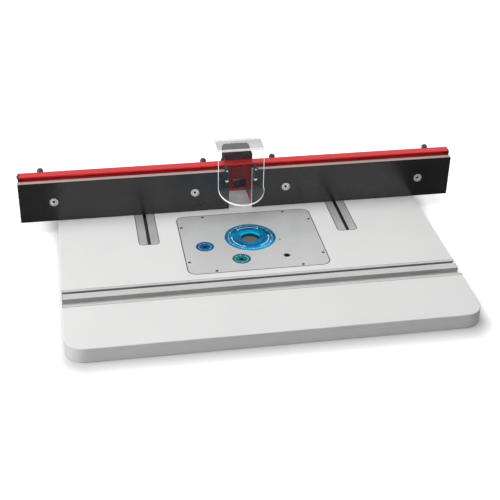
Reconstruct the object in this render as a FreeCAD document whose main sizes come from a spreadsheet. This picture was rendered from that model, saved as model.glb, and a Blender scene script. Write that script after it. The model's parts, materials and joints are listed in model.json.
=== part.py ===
import FreeCAD, Part

import os

import Sketcher
from FreeCAD import Placement, Rotation, Vector

# Bench router table: a laminated board with an insert plate, a mitre track and a split T-slot fence.
# Millimetres. +X runs along the fence to the right, +Y to the rear, +Z up.
# The origin is the centre of the board's underside.

DRIVING = {
    # board
    "board_width": 806.4,
    "board_depth": 609.6,
    "board_thickness": 31.75,
    "board_corner": 38.0,
    "laminate": 1.5,
    "band": 3.0,
    "rim_round": 1.5,
    # insert plate and its rebate
    "plate_width": 298.0,
    "plate_depth": 234.4,
    "plate_thickness": 9.5,
    "plate_corner": 19.0,
    "plate_gap": 0.5,
    "plate_bevel": 0.4,
    "plate_lift": 0.4,
    "plate_middle": 28.6,
    "ledge": 15.0,
    "screw_near": 90.0,
    "screw_far": 141.5,
    "screw_end": 109.5,
    "screw_side": 70.5,
    "screw_radius": 2.4,
    # twist-lock insert ring
    "ring_offset": 12.0,
    "ring_rim": 0.6,
    "ring_funnel": 4.6,
    "ring_funnel_depth": 2.2,
    "ring_bore": 19.05,
    "ring_flange": 54.7,
    "ring_boss": 51.2,
    "ring_step": 4.0,
    "ring_height": 9.3,
    "ring_gap": 0.3,
    "lug_height": 2.7,
    "lug_reach": 54.4,
    "lug_run": 0.6,
    "index_across": 61.0,
    "index_along": -7.0,
    "index_radius": 1.8,
    # adjuster dials and starting-pin bushing
    "dial_radius": 19.05,
    "dial_boss": 12.0,
    "dial_flange": 2.4,
    "dial_run": 0.05,
    "left_dial_across": -101.3,
    "left_dial_along": -13.2,
    "front_dial_across": -32.5,
    "front_dial_along": -71.0,
    "bushing_across": 63.5,
    "bushing_along": -70.8,
    "bushing_radius": 7.0,
    "pin_radius": 3.97,
    # tracks
    "track_depth": 12.7,
    "combo_rear": -107.4,
    "combo_width": 60.3,
    "combo_lip": 7.0,
    "neck": 7.2,
    "neck_depth": 3.2,
    "combo_rib": 18.7,
    "mitre_width": 19.2,
    "mitre_depth": 9.6,
    "combo_channel": 15.0,
    "channel_depth": 6.0,
    "slot_across": 216.0,
    "slot_width": 44.4,
    "slot_front": 39.0,
    "slot_corner": 9.0,
    "slot_channel": 18.0,
    "bead_half": 0.7,
    "bead_depth": 0.6,
    "bead_inner": 7.5,
    "bead_outer": 18.0,
    "track_screw_head": 4.0,
    "track_screw_radius": 2.1,
    # fence extrusion
    "fence_face": 180.2,
    "fence_length": 958.0,
    "fence_top": 105.0,
    "fence_float": 0.4,
    "head_depth": 21.0,
    "head_bottom": 86.0,
    "head_web": 2.5,
    "head_wall": 9.5,
    "crown_round": 1.0,
    "wall": 5.0,
    "foot_depth": 82.0,
    "foot_top": 6.5,
    "foot_lip": 3.5,
    "foot_lip_rise": 3.0,
    "foot_brace": 6.0,
    "cap_thickness": 3.0,
    "port_screw": 1.6,
    "tee_height": 99.2,
    "tee_neck": 5.0,
    "tee_neck_depth": 2.0,
    "tee_channel": 8.4,
    "tee_depth": 7.0,
    "window_half": 15.0,
    "window_top": 67.0,
    "mouth_half": 26.0,
    "mouth_top": 43.0,
    # sub-fences and their clamps
    "face_length": 457.2,
    "face_thickness": 12.7,
    "face_top": 94.5,
    "face_float": 0.5,
    "face_gap": 52.0,
    "bolt_inner": 102.2,
    "bolt_outer": 409.6,
    "bolt_height": 46.6,
    "bolt_radius": 4.76,
    "bolt_head": 9.6,
    "face_travel": 20.0,
    "face_edge": 0.6,
    "face_back_gap": 0.1,
    "lever_lean": 24.2,
    "lever_reach": 59.6,
    "lever_ball": 6.8,
    "lever_depth": 33.3,
    # clamps to the board
    "knob_back": 52.0,
    "knob_bolt": 3.17,
    "knob_radius": 25.0,
    "knob_height": 22.0,
    # dust hood
    "hood_half": 31.25,
    "hood_back": 71.8,
    "hood_top": 124.0,
    "hood_wall": 2.6,
    "hood_round": 9.0,
    "port_radius": 28.575,
    "port_bore": 26.0,
    "port_length": 36.0,
    "port_height": 52.0,
    "port_collar": 30.6,
    "port_collar_rise": 1.2,
    "doorway_half": 26.0,
    "flange_half": 45.0,
    "flange_thickness": 3.0,
    "hood_fit": 0.1,
    # guard
    "guard_half": 51.0,
    "guard_face": 162.6,
    "guard_sheet": 4.5,
    "guard_top": 148.0,
    "guard_bend": 53.0,
    "guard_back": 56.4,
    "guard_droop": 16.0,
    "guard_reach": 54.0,
    "guard_bend_round": 7.0,
    "guard_screw_across": 32.0,
    "guard_screw": 2.4,
    "guard_slot": 3.1,
    "guard_travel": 25.0,
}

doc = FreeCAD.newDocument("router_table")
sheet = doc.addObject("Spreadsheet::Sheet", "dims")
nodes = []


class Size:
    """A length that knows its value and the spreadsheet expression that gives it."""

    def __init__(self, value, text=None):
        self.value = value
        self.text = repr(value) if text is None else text

    def _join(self, other, sign, value):
        return Size(value, f"({self.text} {sign} {other.text})")

    def __add__(self, other):
        other = size(other)
        return self._join(other, "+", self.value + other.value)

    def __sub__(self, other):
        other = size(other)
        return self._join(other, "-", self.value - other.value)

    def __mul__(self, other):
        other = size(other)
        return self._join(other, "*", self.value * other.value)

    def __truediv__(self, other):
        other = size(other)
        return self._join(other, "/", self.value / other.value)

    def __neg__(self):
        return Size(-self.value, f"(-{self.text})")

    def __radd__(self, other):
        return size(other) + self

    def __rsub__(self, other):
        return size(other) - self

    def __rmul__(self, other):
        return size(other) * self


def size(number):
    """Any number as a Size."""
    return number if isinstance(number, Size) else Size(number)


class Dims:
    """The driving dimensions, one attribute for each named cell of the sheet."""


d = Dims()
for row, (alias, number) in enumerate(DRIVING.items(), start=1):
    sheet.set(f"A{row}", alias)
    sheet.set(f"B{row}", str(number))
    sheet.setAlias(f"B{row}", alias)
    setattr(d, alias, Size(number, f"dims.{alias}"))
doc.recompute()


# ---------------------------------------------------------------- building blocks

TURNS = {
    "Z": Rotation(),
    "X": Rotation(Vector(0, 1, 0), 90),
    "Y": Rotation(Vector(1, 0, 0), -90),
}


def bind(item, **sizes):
    for name, value in sizes.items():
        item.setExpression(name, size(value).text)
    return item


def place(item, at=(0, 0, 0), axis="Z", turn=None):
    """Puts an item's own origin at a point, with its Z along the given axis."""
    rotation = turn if turn is not None else TURNS[axis]
    item.Placement = Placement(Vector(0, 0, 0), rotation)
    for letter, value in zip("xyz", at):
        item.setExpression(f"Placement.Base.{letter}", size(value).text)
    return item


def box(name, low, high):
    """A block between two corners."""
    item = doc.addObject("Part::Box", name)
    spans = [size(b) - size(a) for a, b in zip(low, high)]
    bind(item, Length=spans[0], Width=spans[1], Height=spans[2])
    return place(item, low)


def cylinder(name, radius, height, at, axis="Z", turn=None, angle=360):
    item = doc.addObject("Part::Cylinder", name)
    bind(item, Radius=radius, Height=height)
    item.Angle = angle
    return place(item, at, axis, turn)


def hexagon(name, across_flats, height, at, axis="Z"):
    item = doc.addObject("Part::Prism", name)
    item.Polygon = 6
    bind(item, Circumradius=size(across_flats) / 1.7320508, Height=height)
    return place(item, at, axis)


def fuse(name, *items):
    item = doc.addObject("Part::MultiFuse", name)
    item.Shapes = list(items)
    return item


def cut(name, base, *tools):
    item = doc.addObject("Part::Cut", name)
    item.Base = base
    item.Tool = tools[0] if len(tools) == 1 else fuse(f"{name}_tools", *tools)
    return item


def group(name, items):
    """Identical loose pieces kept together, each still a solid of its own."""
    item = doc.addObject("Part::Compound", name)
    item.Links = list(items)
    return item


def sketch(body, role, points):
    """A closed outline of straight lines whose corners are bound to the sheet."""
    plan = body.newObject("Sketcher::SketchObject", f"{body.Name}_outline")
    plane = [f for f in body.Origin.OriginFeatures if f.Role == role][0]
    plan.AttachmentSupport = [(plane, "")]
    plan.MapMode = "FlatFace"
    corners = [(size(a), size(b)) for a, b in points]
    count = len(corners)
    for i in range(count):
        start, end = corners[i], corners[(i + 1) % count]
        line = Part.LineSegment(
            Vector(start[0].value, start[1].value, 0), Vector(end[0].value, end[1].value, 0)
        )
        plan.addGeometry(line, False)
    for i in range(count):
        plan.addConstraint(Sketcher.Constraint("Coincident", i, 2, (i + 1) % count, 1))
    for i, corner in enumerate(corners):
        for kind, zero_axis, value in zip(("DistanceX", "DistanceY"), (-2, -1), corner):
            if value.value == 0:
                plan.addConstraint(Sketcher.Constraint("PointOnObject", i, 1, zero_axis))
            else:
                held = plan.addConstraint(Sketcher.Constraint(kind, -1, 1, i, 1, value.value))
                plan.setExpression(f"Constraints[{held}]", value.text)
    return plan


def extruded(name, role, points, length, at=(0, 0, 0)):
    """A body whose outline lies in an origin plane, padded along that plane's normal."""
    body = doc.addObject("PartDesign::Body", name)
    pad = body.newObject("PartDesign::Pad", f"{name}_pad")
    pad.Profile = sketch(body, role, points)
    bind(pad, Length=length)
    place(body, at)
    doc.recompute()
    return body


def lathe(name, points, at=(0, 0, 0), axis="Z"):
    """A turned body: points are (radius, height along the axis)."""
    body = doc.addObject("PartDesign::Body", name)
    plan = sketch(body, "XZ_Plane", points)
    turned = body.newObject("PartDesign::Revolution", f"{name}_turned")
    turned.Profile = plan
    turned.ReferenceAxis = (plan, ["V_Axis"])
    turned.Angle = 360
    return place(body, at, axis)


def rounded(body, radius, test, kind="Fillet"):
    """Rounds (or chamfers) the edges of a body's last feature that pass the test."""
    doc.recompute()
    base = body.Tip
    names = [f"Edge{i}" for i, edge in enumerate(base.Shape.Edges, 1) if test(edge.BoundBox)]
    feature = body.newObject(f"PartDesign::{kind}", f"{base.Name}_{kind.lower()}")
    feature.Base = (base, names)
    bind(feature, **{"Radius" if kind == "Fillet" else "Size": radius})
    doc.recompute()
    return body


def upright(bounds):
    return bounds.XLength < 1e-6 and bounds.YLength < 1e-6


def board(name, width, depth, thickness, corner, at):
    """A flat board centred on a point, with rounded corners."""
    w, e = size(width) / 2, size(depth) / 2
    outline = [(-w, -e), (w, -e), (w, e), (-w, e)]
    return rounded(extruded(name, "XY_Plane", outline, thickness, at), corner, upright)


def slot(name, half_width, half_length, depth, at, along, axis):
    """A round-ended slot cutter. It runs along X or Z and is as deep as given along axis."""
    x, y, z = (size(v) for v in at)
    if along == "X":
        low, high = (x - half_length, y, z - half_width), (x + half_length, y + depth, z + half_width)
        ends = [(x - half_length, y, z), (x + half_length, y, z)]
    else:
        low, high = (x - half_width, y, z - half_length), (x + half_width, y + depth, z + half_length)
        ends = [(x, y, z - half_length), (x, y, z + half_length)]
    body = box(f"{name}_middle", low, high)
    rounds = [cylinder(f"{name}_end{i}", half_width, depth, p, axis) for i, p in enumerate(ends)]
    return fuse(name, body, *rounds)


def node(item, label):
    """Marks a finished piece. Its label is the name of its file."""
    item.Label = label
    nodes.append(item)
    return item


def countersunk_screw(name, head, shank, length, at, axis="Z"):
    """Flat-head screw: its head's top is at the point, and it points down its own axis."""
    points = [(0, -length), (shank, -length), (shank, size(shank) - head), (head, 0), (0, 0)]
    return lathe(name, points, at, axis)


top = d.board_thickness
fence_bottom = top + d.fence_float


# ---------------------------------------------------------------- board and tracks

def router_opening():
    return board(
        "router_opening", d.plate_width - d.ledge * 2, d.plate_depth - d.ledge * 2,
        top + 2, d.plate_corner - 9, (0, d.plate_middle, -1),
    )


def plate_rebate():
    return board(
        "plate_rebate", d.plate_width + d.plate_gap * 2, d.plate_depth + d.plate_gap * 2,
        d.plate_thickness + d.plate_lift + 1, d.plate_corner + d.plate_gap,
        (0, d.plate_middle, top - d.plate_thickness - d.plate_lift),
    )


def combo_groove():
    half = d.board_width / 2 + 1
    return box(
        "combo_groove",
        (-half, d.combo_rear - d.combo_width, top - d.track_depth),
        (half, d.combo_rear, top + 1),
    )


def slot_outline(width, back):
    """Plan of a fence track, from its rounded front end to the board's rear edge."""
    return [(-width / 2, d.slot_front), (width / 2, d.slot_front), (width / 2, back), (-width / 2, back)]


def front_corner(bounds):
    return upright(bounds) and bounds.YMax < d.slot_front.value + 1


def slot_groove(side, sign):
    outline = slot_outline(d.slot_width, d.board_depth / 2 + 1)
    at = (d.slot_across * sign, 0, top - d.track_depth)
    groove = extruded(f"{side}_slot_groove", "XY_Plane", outline, d.track_depth + 1, at)
    return rounded(groove, d.slot_corner, front_corner)


def combo_track():
    """Mitre slot in front, T-slot behind, in one aluminium extrusion with open ends."""
    neck_front = d.combo_rear - d.combo_lip - d.neck
    mitre_rear = neck_front - d.combo_rib
    mitre_front = mitre_rear - d.mitre_width
    front = d.combo_rear - d.combo_width
    tee = d.combo_rear - d.combo_lip - d.neck / 2
    low, high = tee - d.combo_channel / 2, tee + d.combo_channel / 2
    channel_top, channel_floor = top - d.neck_depth, top - d.neck_depth - d.channel_depth
    floor = top - d.mitre_depth
    outline = [
        (front, top - d.track_depth), (d.combo_rear, top - d.track_depth), (d.combo_rear, top),
        (d.combo_rear - d.combo_lip, top), (d.combo_rear - d.combo_lip, channel_top),
        (high, channel_top), (high, channel_floor), (low, channel_floor), (low, channel_top),
        (neck_front, channel_top), (neck_front, top), (mitre_rear, top), (mitre_rear, floor),
        (mitre_front, floor), (mitre_front, top), (front, top),
    ]
    at = (-d.board_width / 2, 0, 0)
    track = extruded("combo_track_bar", "YZ_Plane", outline, d.board_width, at)
    screws = [
        countersunk_screw(
            f"combo_screw{i}", d.track_screw_head, d.track_screw_radius, 15.0,
            (x, mitre_rear - d.mitre_width / 2, floor - 0.3),
        )
        for i, x in enumerate((-360, -180, 0, 180, 360))
    ]
    return track, group("combo_screws", screws)


def slot_track(side, sign):
    """Fence T-track: a wide flat extrusion with a T-slot down its middle."""
    outline = slot_outline(d.slot_width, d.board_depth / 2)
    at = (d.slot_across * sign, 0, top - d.track_depth)
    blank = rounded(
        extruded(f"{side}_track_blank", "XY_Plane", outline, d.track_depth, at), d.slot_corner, front_corner
    )
    middle, half, back = d.slot_across * sign, d.neck / 2, d.board_depth / 2 + 1
    wide, front = d.slot_channel / 2, d.slot_front - 1
    floor = top - d.neck_depth - d.channel_depth
    neck = box(f"{side}_track_neck", (middle - half, front, floor), (middle + half, back, top + 1))
    channel = box(
        f"{side}_track_channel", (middle - wide, front, floor), (middle + wide, back, top - d.neck_depth)
    )
    beads = []
    for i, x in enumerate((-d.bead_outer, -d.bead_inner, d.bead_inner, d.bead_outer)):
        low = (middle + x - d.bead_half, front, top - d.bead_depth)
        beads.append(box(f"{side}_bead{i}", low, (middle + x + d.bead_half, back, top + 1)))
    screws = [
        countersunk_screw(
            f"{side}_track_screw{i}", d.track_screw_head, d.track_screw_radius, 13.0,
            (middle, y, floor - 0.3),
        )
        for i, y in enumerate((62, 168, 286))
    ]
    return cut(f"{side}_track_bar", blank, neck, channel, *beads), screws


def make_board():
    width, depth = d.board_width - d.band * 2, d.board_depth - d.band * 2
    inner_corner = d.board_corner - d.band
    grooves = [combo_groove(), slot_groove("left", -1), slot_groove("right", 1)]
    rebate, opening = plate_rebate(), router_opening()
    combo, combo_screws = combo_track()
    left, left_screws = slot_track("left", -1)
    right, right_screws = slot_track("right", 1)
    slot_screws = group("slot_screws", left_screws + right_screws)

    core = board(
        "core_blank", width, depth, top - d.laminate * 2, inner_corner, (0, 0, d.laminate)
    )
    node(cut("core", core, rebate, opening, *grooves, combo_screws, slot_screws), "core_board")
    skin = board("top_skin", width, depth, d.laminate, inner_corner, (0, 0, top - d.laminate))
    node(cut("top_sheet", skin, rebate, *grooves), "top_laminate")
    back = board("bottom_skin", width, depth, d.laminate, inner_corner, (0, 0, 0))
    node(cut("bottom_sheet", back, opening), "bottom_laminate")
    rim = board("rim_blank", d.board_width, d.board_depth, top, d.board_corner, (0, 0, 0))
    rounded(rim, d.rim_round, lambda b: b.ZLength < 1e-6)
    inside = board("rim_inside", width, depth, top + 2, inner_corner, (0, 0, -1))
    node(cut("rim", rim, inside, *grooves), "edge_band")

    node(cut("combo", combo, combo_screws), "combo_track")
    node(combo_screws, "combo_track_screws")
    node(cut("left_slot_track", left, slot_screws), "left_fence_track")
    node(cut("right_slot_track", right, slot_screws), "right_fence_track")
    node(slot_screws, "fence_track_screws")


# ---------------------------------------------------------------- insert plate, ring and dials

ring_middle = (0, d.plate_middle + d.ring_offset)
DIALS = {
    "left": (d.left_dial_across, d.plate_middle + d.left_dial_along),
    "front": (d.front_dial_across, d.plate_middle + d.front_dial_along),
}
LUG_ANGLE = 30
NOTCH_ANGLE = 38


def sector(name, outer, inner, height, z, middle, angle):
    """Part of a ring about the insert ring's axis, centred on a direction in degrees."""
    start = Rotation(Vector(0, 0, 1), middle - angle / 2)
    at = (*ring_middle, z)
    whole = cylinder(f"{name}_outer", outer, height, at, turn=start, angle=angle)
    return cut(name, whole, cylinder(f"{name}_inner", inner, height, at))


def make_ring():
    funnel, deep = d.ring_bore + d.ring_funnel, -d.ring_funnel_depth
    outline = [
        (d.ring_bore, -d.ring_height), (d.ring_boss, -d.ring_height), (d.ring_boss, -d.ring_step),
        (d.ring_flange, -d.ring_step), (d.ring_flange, -d.ring_rim), (d.ring_flange - d.ring_rim, 0),
        (funnel, 0), (funnel + deep, deep), (d.ring_bore, deep),
    ]
    turned = lathe("ring_turned", outline, (*ring_middle, top))
    lugs = [
        sector(
            f"ring_lug{i}", d.lug_reach, d.ring_boss - 1, d.lug_height, top - d.ring_height,
            90 + 120 * i, LUG_ANGLE,
        )
        for i in range(3)
    ]
    node(fuse("ring", turned, *lugs), "insert_ring")


def make_dial(side):
    """Graduated disc with a hex key socket, held from below by a clip in its groove."""
    x, y = DIALS[side]
    base = -d.plate_thickness
    groove_top, groove_floor, end = base - 0.2, base - 1.3, base - 2.3
    outline = [
        (0, end), (d.dial_boss, end), (d.dial_boss, groove_floor), (d.dial_boss - 1.2, groove_floor),
        (d.dial_boss - 1.2, groove_top), (d.dial_boss, groove_top), (d.dial_boss, -d.dial_flange),
        (d.dial_radius, -d.dial_flange), (d.dial_radius, -0.5), (d.dial_radius - 0.5, 0),
        (9.4, 0), (8.6, -0.8), (0, -0.8),
    ]
    turned = lathe(f"{side}_dial_turned", outline, (x, y, top))
    socket = hexagon(f"{side}_dial_socket", 8.0, d.plate_thickness + 6, (x, y, top + end - 1))
    node(cut(f"{side}_dial_cut", turned, socket), f"{side}_dial")
    inner = d.dial_boss - 1.15
    clip = lathe(
        f"{side}_clip_turned",
        [(inner, 0), (inner + 3.6, 0), (inner + 3.6, 1.0), (inner, 1.0)],
        (x, y, top + groove_floor + 0.02),
    )
    node(clip, f"{side}_dial_clip")


def plate_screw_places():
    for sx in (-1, 1):
        for sy in (-1, 1):
            yield d.screw_near * sx, d.plate_middle + d.screw_end * sy
            yield d.screw_far * sx, d.plate_middle + d.screw_side * sy


def make_plate():
    bottom = top - d.plate_thickness
    blank = board(
        "plate_blank", d.plate_width, d.plate_depth, d.plate_thickness, d.plate_corner,
        (0, d.plate_middle, bottom),
    )
    half_way = d.plate_thickness.value / 2
    rounded(blank, d.plate_bevel, lambda b: b.ZLength < 1e-6 and b.ZMin > half_way, "Chamfer")
    seat = d.ring_flange + d.ring_gap
    under = d.lug_height + d.lug_run
    tools = [
        cylinder("ring_seat", seat, d.ring_step + 1, (*ring_middle, top - d.ring_step - 0.2)),
        cylinder("ring_throat", d.ring_boss + d.ring_gap, 20, (*ring_middle, bottom - 1)),
        cylinder("ring_undercut", seat, under + 1, (*ring_middle, bottom - 1)),
    ]
    tools += [
        sector(f"ring_notch{i}", seat, d.ring_boss - 2, 8, bottom, 30 + 120 * i, NOTCH_ANGLE)
        for i in range(3)
    ]
    for side, (x, y) in DIALS.items():
        recess = top - d.dial_flange - 0.1
        tools.append(cylinder(f"{side}_dial_seat", d.dial_radius + 0.3, 5, (x, y, recess)))
        tools.append(cylinder(f"{side}_dial_hole", d.dial_boss + d.dial_run, 20, (x, y, bottom - 1)))
    pin = (d.bushing_across, d.plate_middle + d.bushing_along)
    tools.append(cylinder("bushing_hole", d.bushing_radius, 20, (*pin, bottom - 1)))
    index = (d.index_across, d.plate_middle + d.index_along)
    tools.append(cylinder("index_hole", d.index_radius, 6, (*index, top - 5)))

    screws = []
    for i, (x, y) in enumerate(plate_screw_places()):
        foot = bottom - d.plate_lift
        tools.append(cylinder(f"plate_screw_hole{i}", d.screw_radius + 0.05, 20, (x, y, bottom - 1)))
        shank = cylinder(f"plate_screw_shank{i}", d.screw_radius, top - 0.4 - foot, (x, y, foot))
        socket = hexagon(f"plate_screw_socket{i}", 2.4, 4, (x, y, top - 3.4))
        screws.append(cut(f"plate_screw{i}", shank, socket))
    node(cut("plate", blank, *tools), "insert_plate")
    node(group("plate_screw_set", screws), "plate_levelling_screws")

    bushing = [
        (d.pin_radius, 0), (d.bushing_radius, 0), (d.bushing_radius, d.plate_thickness - 0.3),
        (d.bushing_radius - 0.3, d.plate_thickness), (d.pin_radius + 0.6, d.plate_thickness),
        (d.pin_radius, d.plate_thickness - 0.6),
    ]
    node(lathe("bushing", bushing, (*pin, bottom)), "starting_pin_bushing")
    shank = cylinder("index_shank", d.index_radius, 4.7, (*index, top - 5))
    node(cut("index", shank, hexagon("index_socket", 1.5, 3, (*index, top - 2))), "ring_index_screw")


# ---------------------------------------------------------------- fence

def fence_outline():
    """Section of the fence: a T-slotted head, an upright wall and a foot behind it."""
    face, low = d.fence_face, fence_bottom
    tee, neck, channel = top + d.tee_height, d.tee_neck / 2, d.tee_channel / 2
    lip, deep = face + d.tee_neck_depth, face + d.tee_depth
    back, foot = face + d.foot_depth, top + d.foot_top
    lip_top, inner = foot + d.foot_lip_rise, face + d.wall
    return [
        (face, low), (back, low), (back, lip_top), (back - d.foot_lip, lip_top), (back - d.foot_lip, foot),
        (inner + d.foot_brace, foot), (inner, foot + d.foot_brace), (inner, top + d.head_bottom),
        (face + d.head_depth, top + d.head_bottom), (face + d.head_depth, top + d.fence_top),
        (face, top + d.fence_top), (face, tee + neck), (lip, tee + neck), (lip, tee + channel),
        (deep, tee + channel), (deep, tee - channel), (lip, tee - channel), (lip, tee - neck),
        (face, tee - neck),
    ]


def cap_ports():
    """Centres of the two screw ports in the section, as (y, z)."""
    return [(d.fence_face + 14, top + 99.6), (d.fence_face + 5.4, top + 6.0)]


def bolt_places(side):
    sign = -1 if side == "left" else 1
    return {"inner": d.bolt_inner * sign, "outer": d.bolt_outer * sign}


def make_extrusion():
    """The fence's bar, with a mouth for the cutter that a narrower window continues upwards."""
    half = d.fence_length / 2
    bar = extruded("fence_bar", "YZ_Plane", fence_outline(), d.fence_length, (-half, 0, 0))
    crown = top.value + d.fence_top.value

    def crown_edge(bounds):
        return bounds.XLength > 1 and bounds.ZMax > crown - 1e-3

    rounded(bar, d.crown_round, crown_edge)
    face, back = d.fence_face, d.fence_face + d.head_depth
    hollow_floor = top + d.head_bottom + d.head_web
    tools = [
        box(
            "head_hollow", (-half - 1, face + d.head_wall, hollow_floor),
            (half + 1, back - d.head_web, hollow_floor + 7),
        )
    ]
    tools += [
        cylinder(f"screw_port{i}", d.port_screw, d.fence_length + 2, (-half - 1, y, z), "X")
        for i, (y, z) in enumerate(cap_ports())
    ]
    mouth = box(
        "mouth", (-d.mouth_half, face - 1, fence_bottom - 1),
        (d.mouth_half, face + d.hood_back - d.hood_wall, top + d.mouth_top),
    )
    window = box(
        "window", (-d.window_half, face - 1, top + d.foot_top),
        (d.window_half, face + d.wall + 1, top + d.window_top),
    )
    tools += [mouth, window]
    for side in ("left", "right"):
        for which, x in bolt_places(side).items():
            at = (x, face - 1, top + d.bolt_height)
            tools.append(slot(f"{side}_{which}_slot", 5.2, d.face_travel + 0.5, d.wall + 2, at, "X", "Y"))
        sign = -1 if side == "left" else 1
        hole = (d.slot_across * sign, face + d.knob_back, top - 1)
        tools.append(cylinder(f"{side}_knob_hole", 3.4, 12, hole))
    tools.append(hood_screw_holes())
    node(cut("extrusion", bar, *tools), "fence_extrusion")


def make_end_caps():
    face, low = d.fence_face, fence_bottom
    back, foot, neck = face + d.foot_depth, top + d.foot_top + d.foot_lip_rise, face + d.wall + 2
    outline = [
        (face, low), (back, low), (back, foot), (neck + 5, foot), (neck, foot + 5),
        (neck, top + d.head_bottom - 1.5), (face + d.head_depth, top + d.head_bottom - 1.5),
        (face + d.head_depth, top + d.fence_top), (face, top + d.fence_top),
    ]
    screws = []
    for side, sign in (("left", -1), ("right", 1)):
        inner = d.fence_length / 2 * sign
        start = inner - d.cap_thickness if sign < 0 else inner
        cap = extruded(f"{side}_cap", "YZ_Plane", outline, d.cap_thickness, (start, 0, 0))
        holes = []
        for i, (y, z) in enumerate(cap_ports()):
            outward = Rotation(Vector(0, 1, 0), 90 * sign)
            shank = [
                (0, -10), (1.55, -10), (1.55, 0), (3.8, 0), (3.8, 1.4), (3.0, 2.3), (1.4, 2.6), (0, 2.6)
            ]
            screw = lathe(f"{side}_cap_screw{i}", shank)
            place(screw, (inner + d.cap_thickness * sign, y, z), turn=outward)
            screws.append(screw)
            holes.append(cylinder(f"{side}_cap_hole{i}", d.port_screw, 8, (start - 2, y, z), "X"))
        node(cut(f"{side}_cap_cut", cap, *holes), f"{side}_end_cap")
    node(group("cap_screws", screws), "end_cap_screws")


def hood_screw_places():
    return [(x, top + z) for x in (-38.0, 38.0) for z in (20.0, 76.0)]


def hood_screw_holes():
    holes = [
        cylinder(f"hood_hole{i}", 1.75, 14, (x, d.fence_face - 1, z), "Y")
        for i, (x, z) in enumerate(hood_screw_places())
    ]
    return fuse("hood_holes", *holes)


def hood_shape(name, inset):
    """The hood's box: behind the fence's wall below, and behind its head above."""
    wall, floor = d.fence_face + d.wall + d.hood_fit, top + d.foot_top + d.hood_fit
    head = d.fence_face + d.head_depth + d.hood_fit * 5 + inset
    reach, high = d.hood_half - inset, top + d.hood_top - inset
    back = d.fence_face + d.hood_back - inset
    step = top + d.head_bottom - d.hood_fit * 5 - inset
    brace = d.foot_brace + 0.5
    past = 1 if inset else 0
    outline = [
        (wall + brace, floor - past), (back, floor - past), (back, high), (head, high), (head, step),
        (wall - past, step), (wall - past, floor + brace),
    ]
    body = extruded(name, "YZ_Plane", outline, reach * 2, (-reach, 0, 0))
    crown, rear = high.value, back.value

    def outside(b):
        top_rear = b.XLength > 1 and b.ZMin > crown - 1e-3 and b.YMin > rear - 1e-3
        sides = b.XLength < 1e-3 and (b.ZMin > crown - 1e-3 or b.YMin > rear - 1e-3)
        return top_rear or sides

    return rounded(body, d.hood_round - inset, outside)


def make_hood():
    """Dust hood with a screw flange against the fence and a hose port at the rear."""
    shell, hollow = hood_shape("hood_outside", 0), hood_shape("hood_inside", d.hood_wall)
    front = d.fence_face + d.wall + d.hood_fit
    seat = front + d.flange_thickness
    flange = box(
        "hood_flange", (-d.flange_half, front, top + d.foot_top + d.foot_brace + 0.5),
        (d.flange_half, seat, top + d.head_bottom - d.hood_fit * 6),
    )
    back, height = d.fence_face + d.hood_back, top + d.port_height
    port = cylinder("hood_port", d.port_radius, d.port_length + 3, (0, back - 3, height), "Y")
    collar_start = back - d.hood_round
    collar = cylinder(
        "hood_collar", d.port_collar, d.hood_round + d.port_collar_rise, (0, collar_start, height), "Y"
    )
    bore = cylinder("hood_bore", d.port_bore, d.port_length + 8, (0, back - 5, height), "Y")
    solid = fuse("hood_solid", shell, flange, port, collar)
    doorway = box(
        "hood_doorway", (-d.doorway_half, front - 1, top + d.foot_top),
        (d.doorway_half, front + 4, top + d.window_top + 4),
    )
    node(cut("hood", solid, hollow, bore, doorway, hood_screw_holes()), "dust_hood")
    screws = []
    head = [(1.7, 0), (3.6, 0), (3.6, 1.3), (2.8, 2.2), (1.2, 2.5), (0, 2.5)]
    for i, (x, z) in enumerate(hood_screw_places()):
        screws.append(lathe(f"hood_screw{i}", [(0, -7.6), (1.7, -7.6), *head], (x, seat, z), "Y"))
    node(group("hood_screw_set", screws), "dust_hood_screws")


def make_knob(side):
    """Five-lobed clamp knob on a T-bolt that runs in the board's fence track."""
    sign = -1 if side == "left" else 1
    x, y = d.slot_across * sign, d.fence_face + d.knob_back
    base = top + d.foot_top + 2.0
    centre = cylinder(f"{side}_knob_core", d.knob_radius - 9, d.knob_height, (x, y, base))
    lobes = []
    for i in range(5):
        arm = Rotation(Vector(0, 0, 1), 72 * i + 18).multVec(Vector(1, 0, 0))
        at = (x + (d.knob_radius - 8) * arm.x, y + (d.knob_radius - 8) * arm.y, base + 5)
        lobes.append(cylinder(f"{side}_knob_lobe{i}", 8, d.knob_height - 5, at))
    bore = cylinder(f"{side}_knob_bore", 6, d.knob_height - 4, (x, y, base - 1))
    node(cut(f"{side}_knob", fuse(f"{side}_knob_solid", centre, *lobes), bore), f"{side}_clamp_knob")
    run = d.knob_bolt + 0.06
    outline = [(run, 0.2), (6, 0.2), (6, d.knob_height - 5), (run, d.knob_height - 5)]
    node(lathe(f"{side}_knob_nut", outline, (x, y, base)), f"{side}_knob_insert")


def make_fence_clamps():
    bolts, washers = [], []
    y, foot = d.fence_face + d.knob_back, top + d.foot_top
    floor = top - d.neck_depth - d.channel_depth
    for sign in (-1, 1):
        x = d.slot_across * sign
        head = box(f"tee_head{sign}", (x - 8, y - 6.3, floor + 0.8), (x + 8, y + 6.3, floor + 5.2))
        shank = cylinder(f"tee_shank{sign}", d.knob_bolt, foot + 18 - floor - 3, (x, y, floor + 3))
        bolts.append(fuse(f"tee_bolt{sign}", head, shank))
        outline = [(3.4, 0.1), (9.5, 0.1), (9.5, 1.7), (3.4, 1.7)]
        washers.append(lathe(f"clamp_washer{sign}", outline, (x, y, foot)))
    node(group("tee_bolts", bolts), "fence_clamp_bolts")
    node(group("clamp_washers", washers), "fence_clamp_washers")
    make_knob("left")
    make_knob("right")


# ---------------------------------------------------------------- sub-fences and their levers

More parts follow.
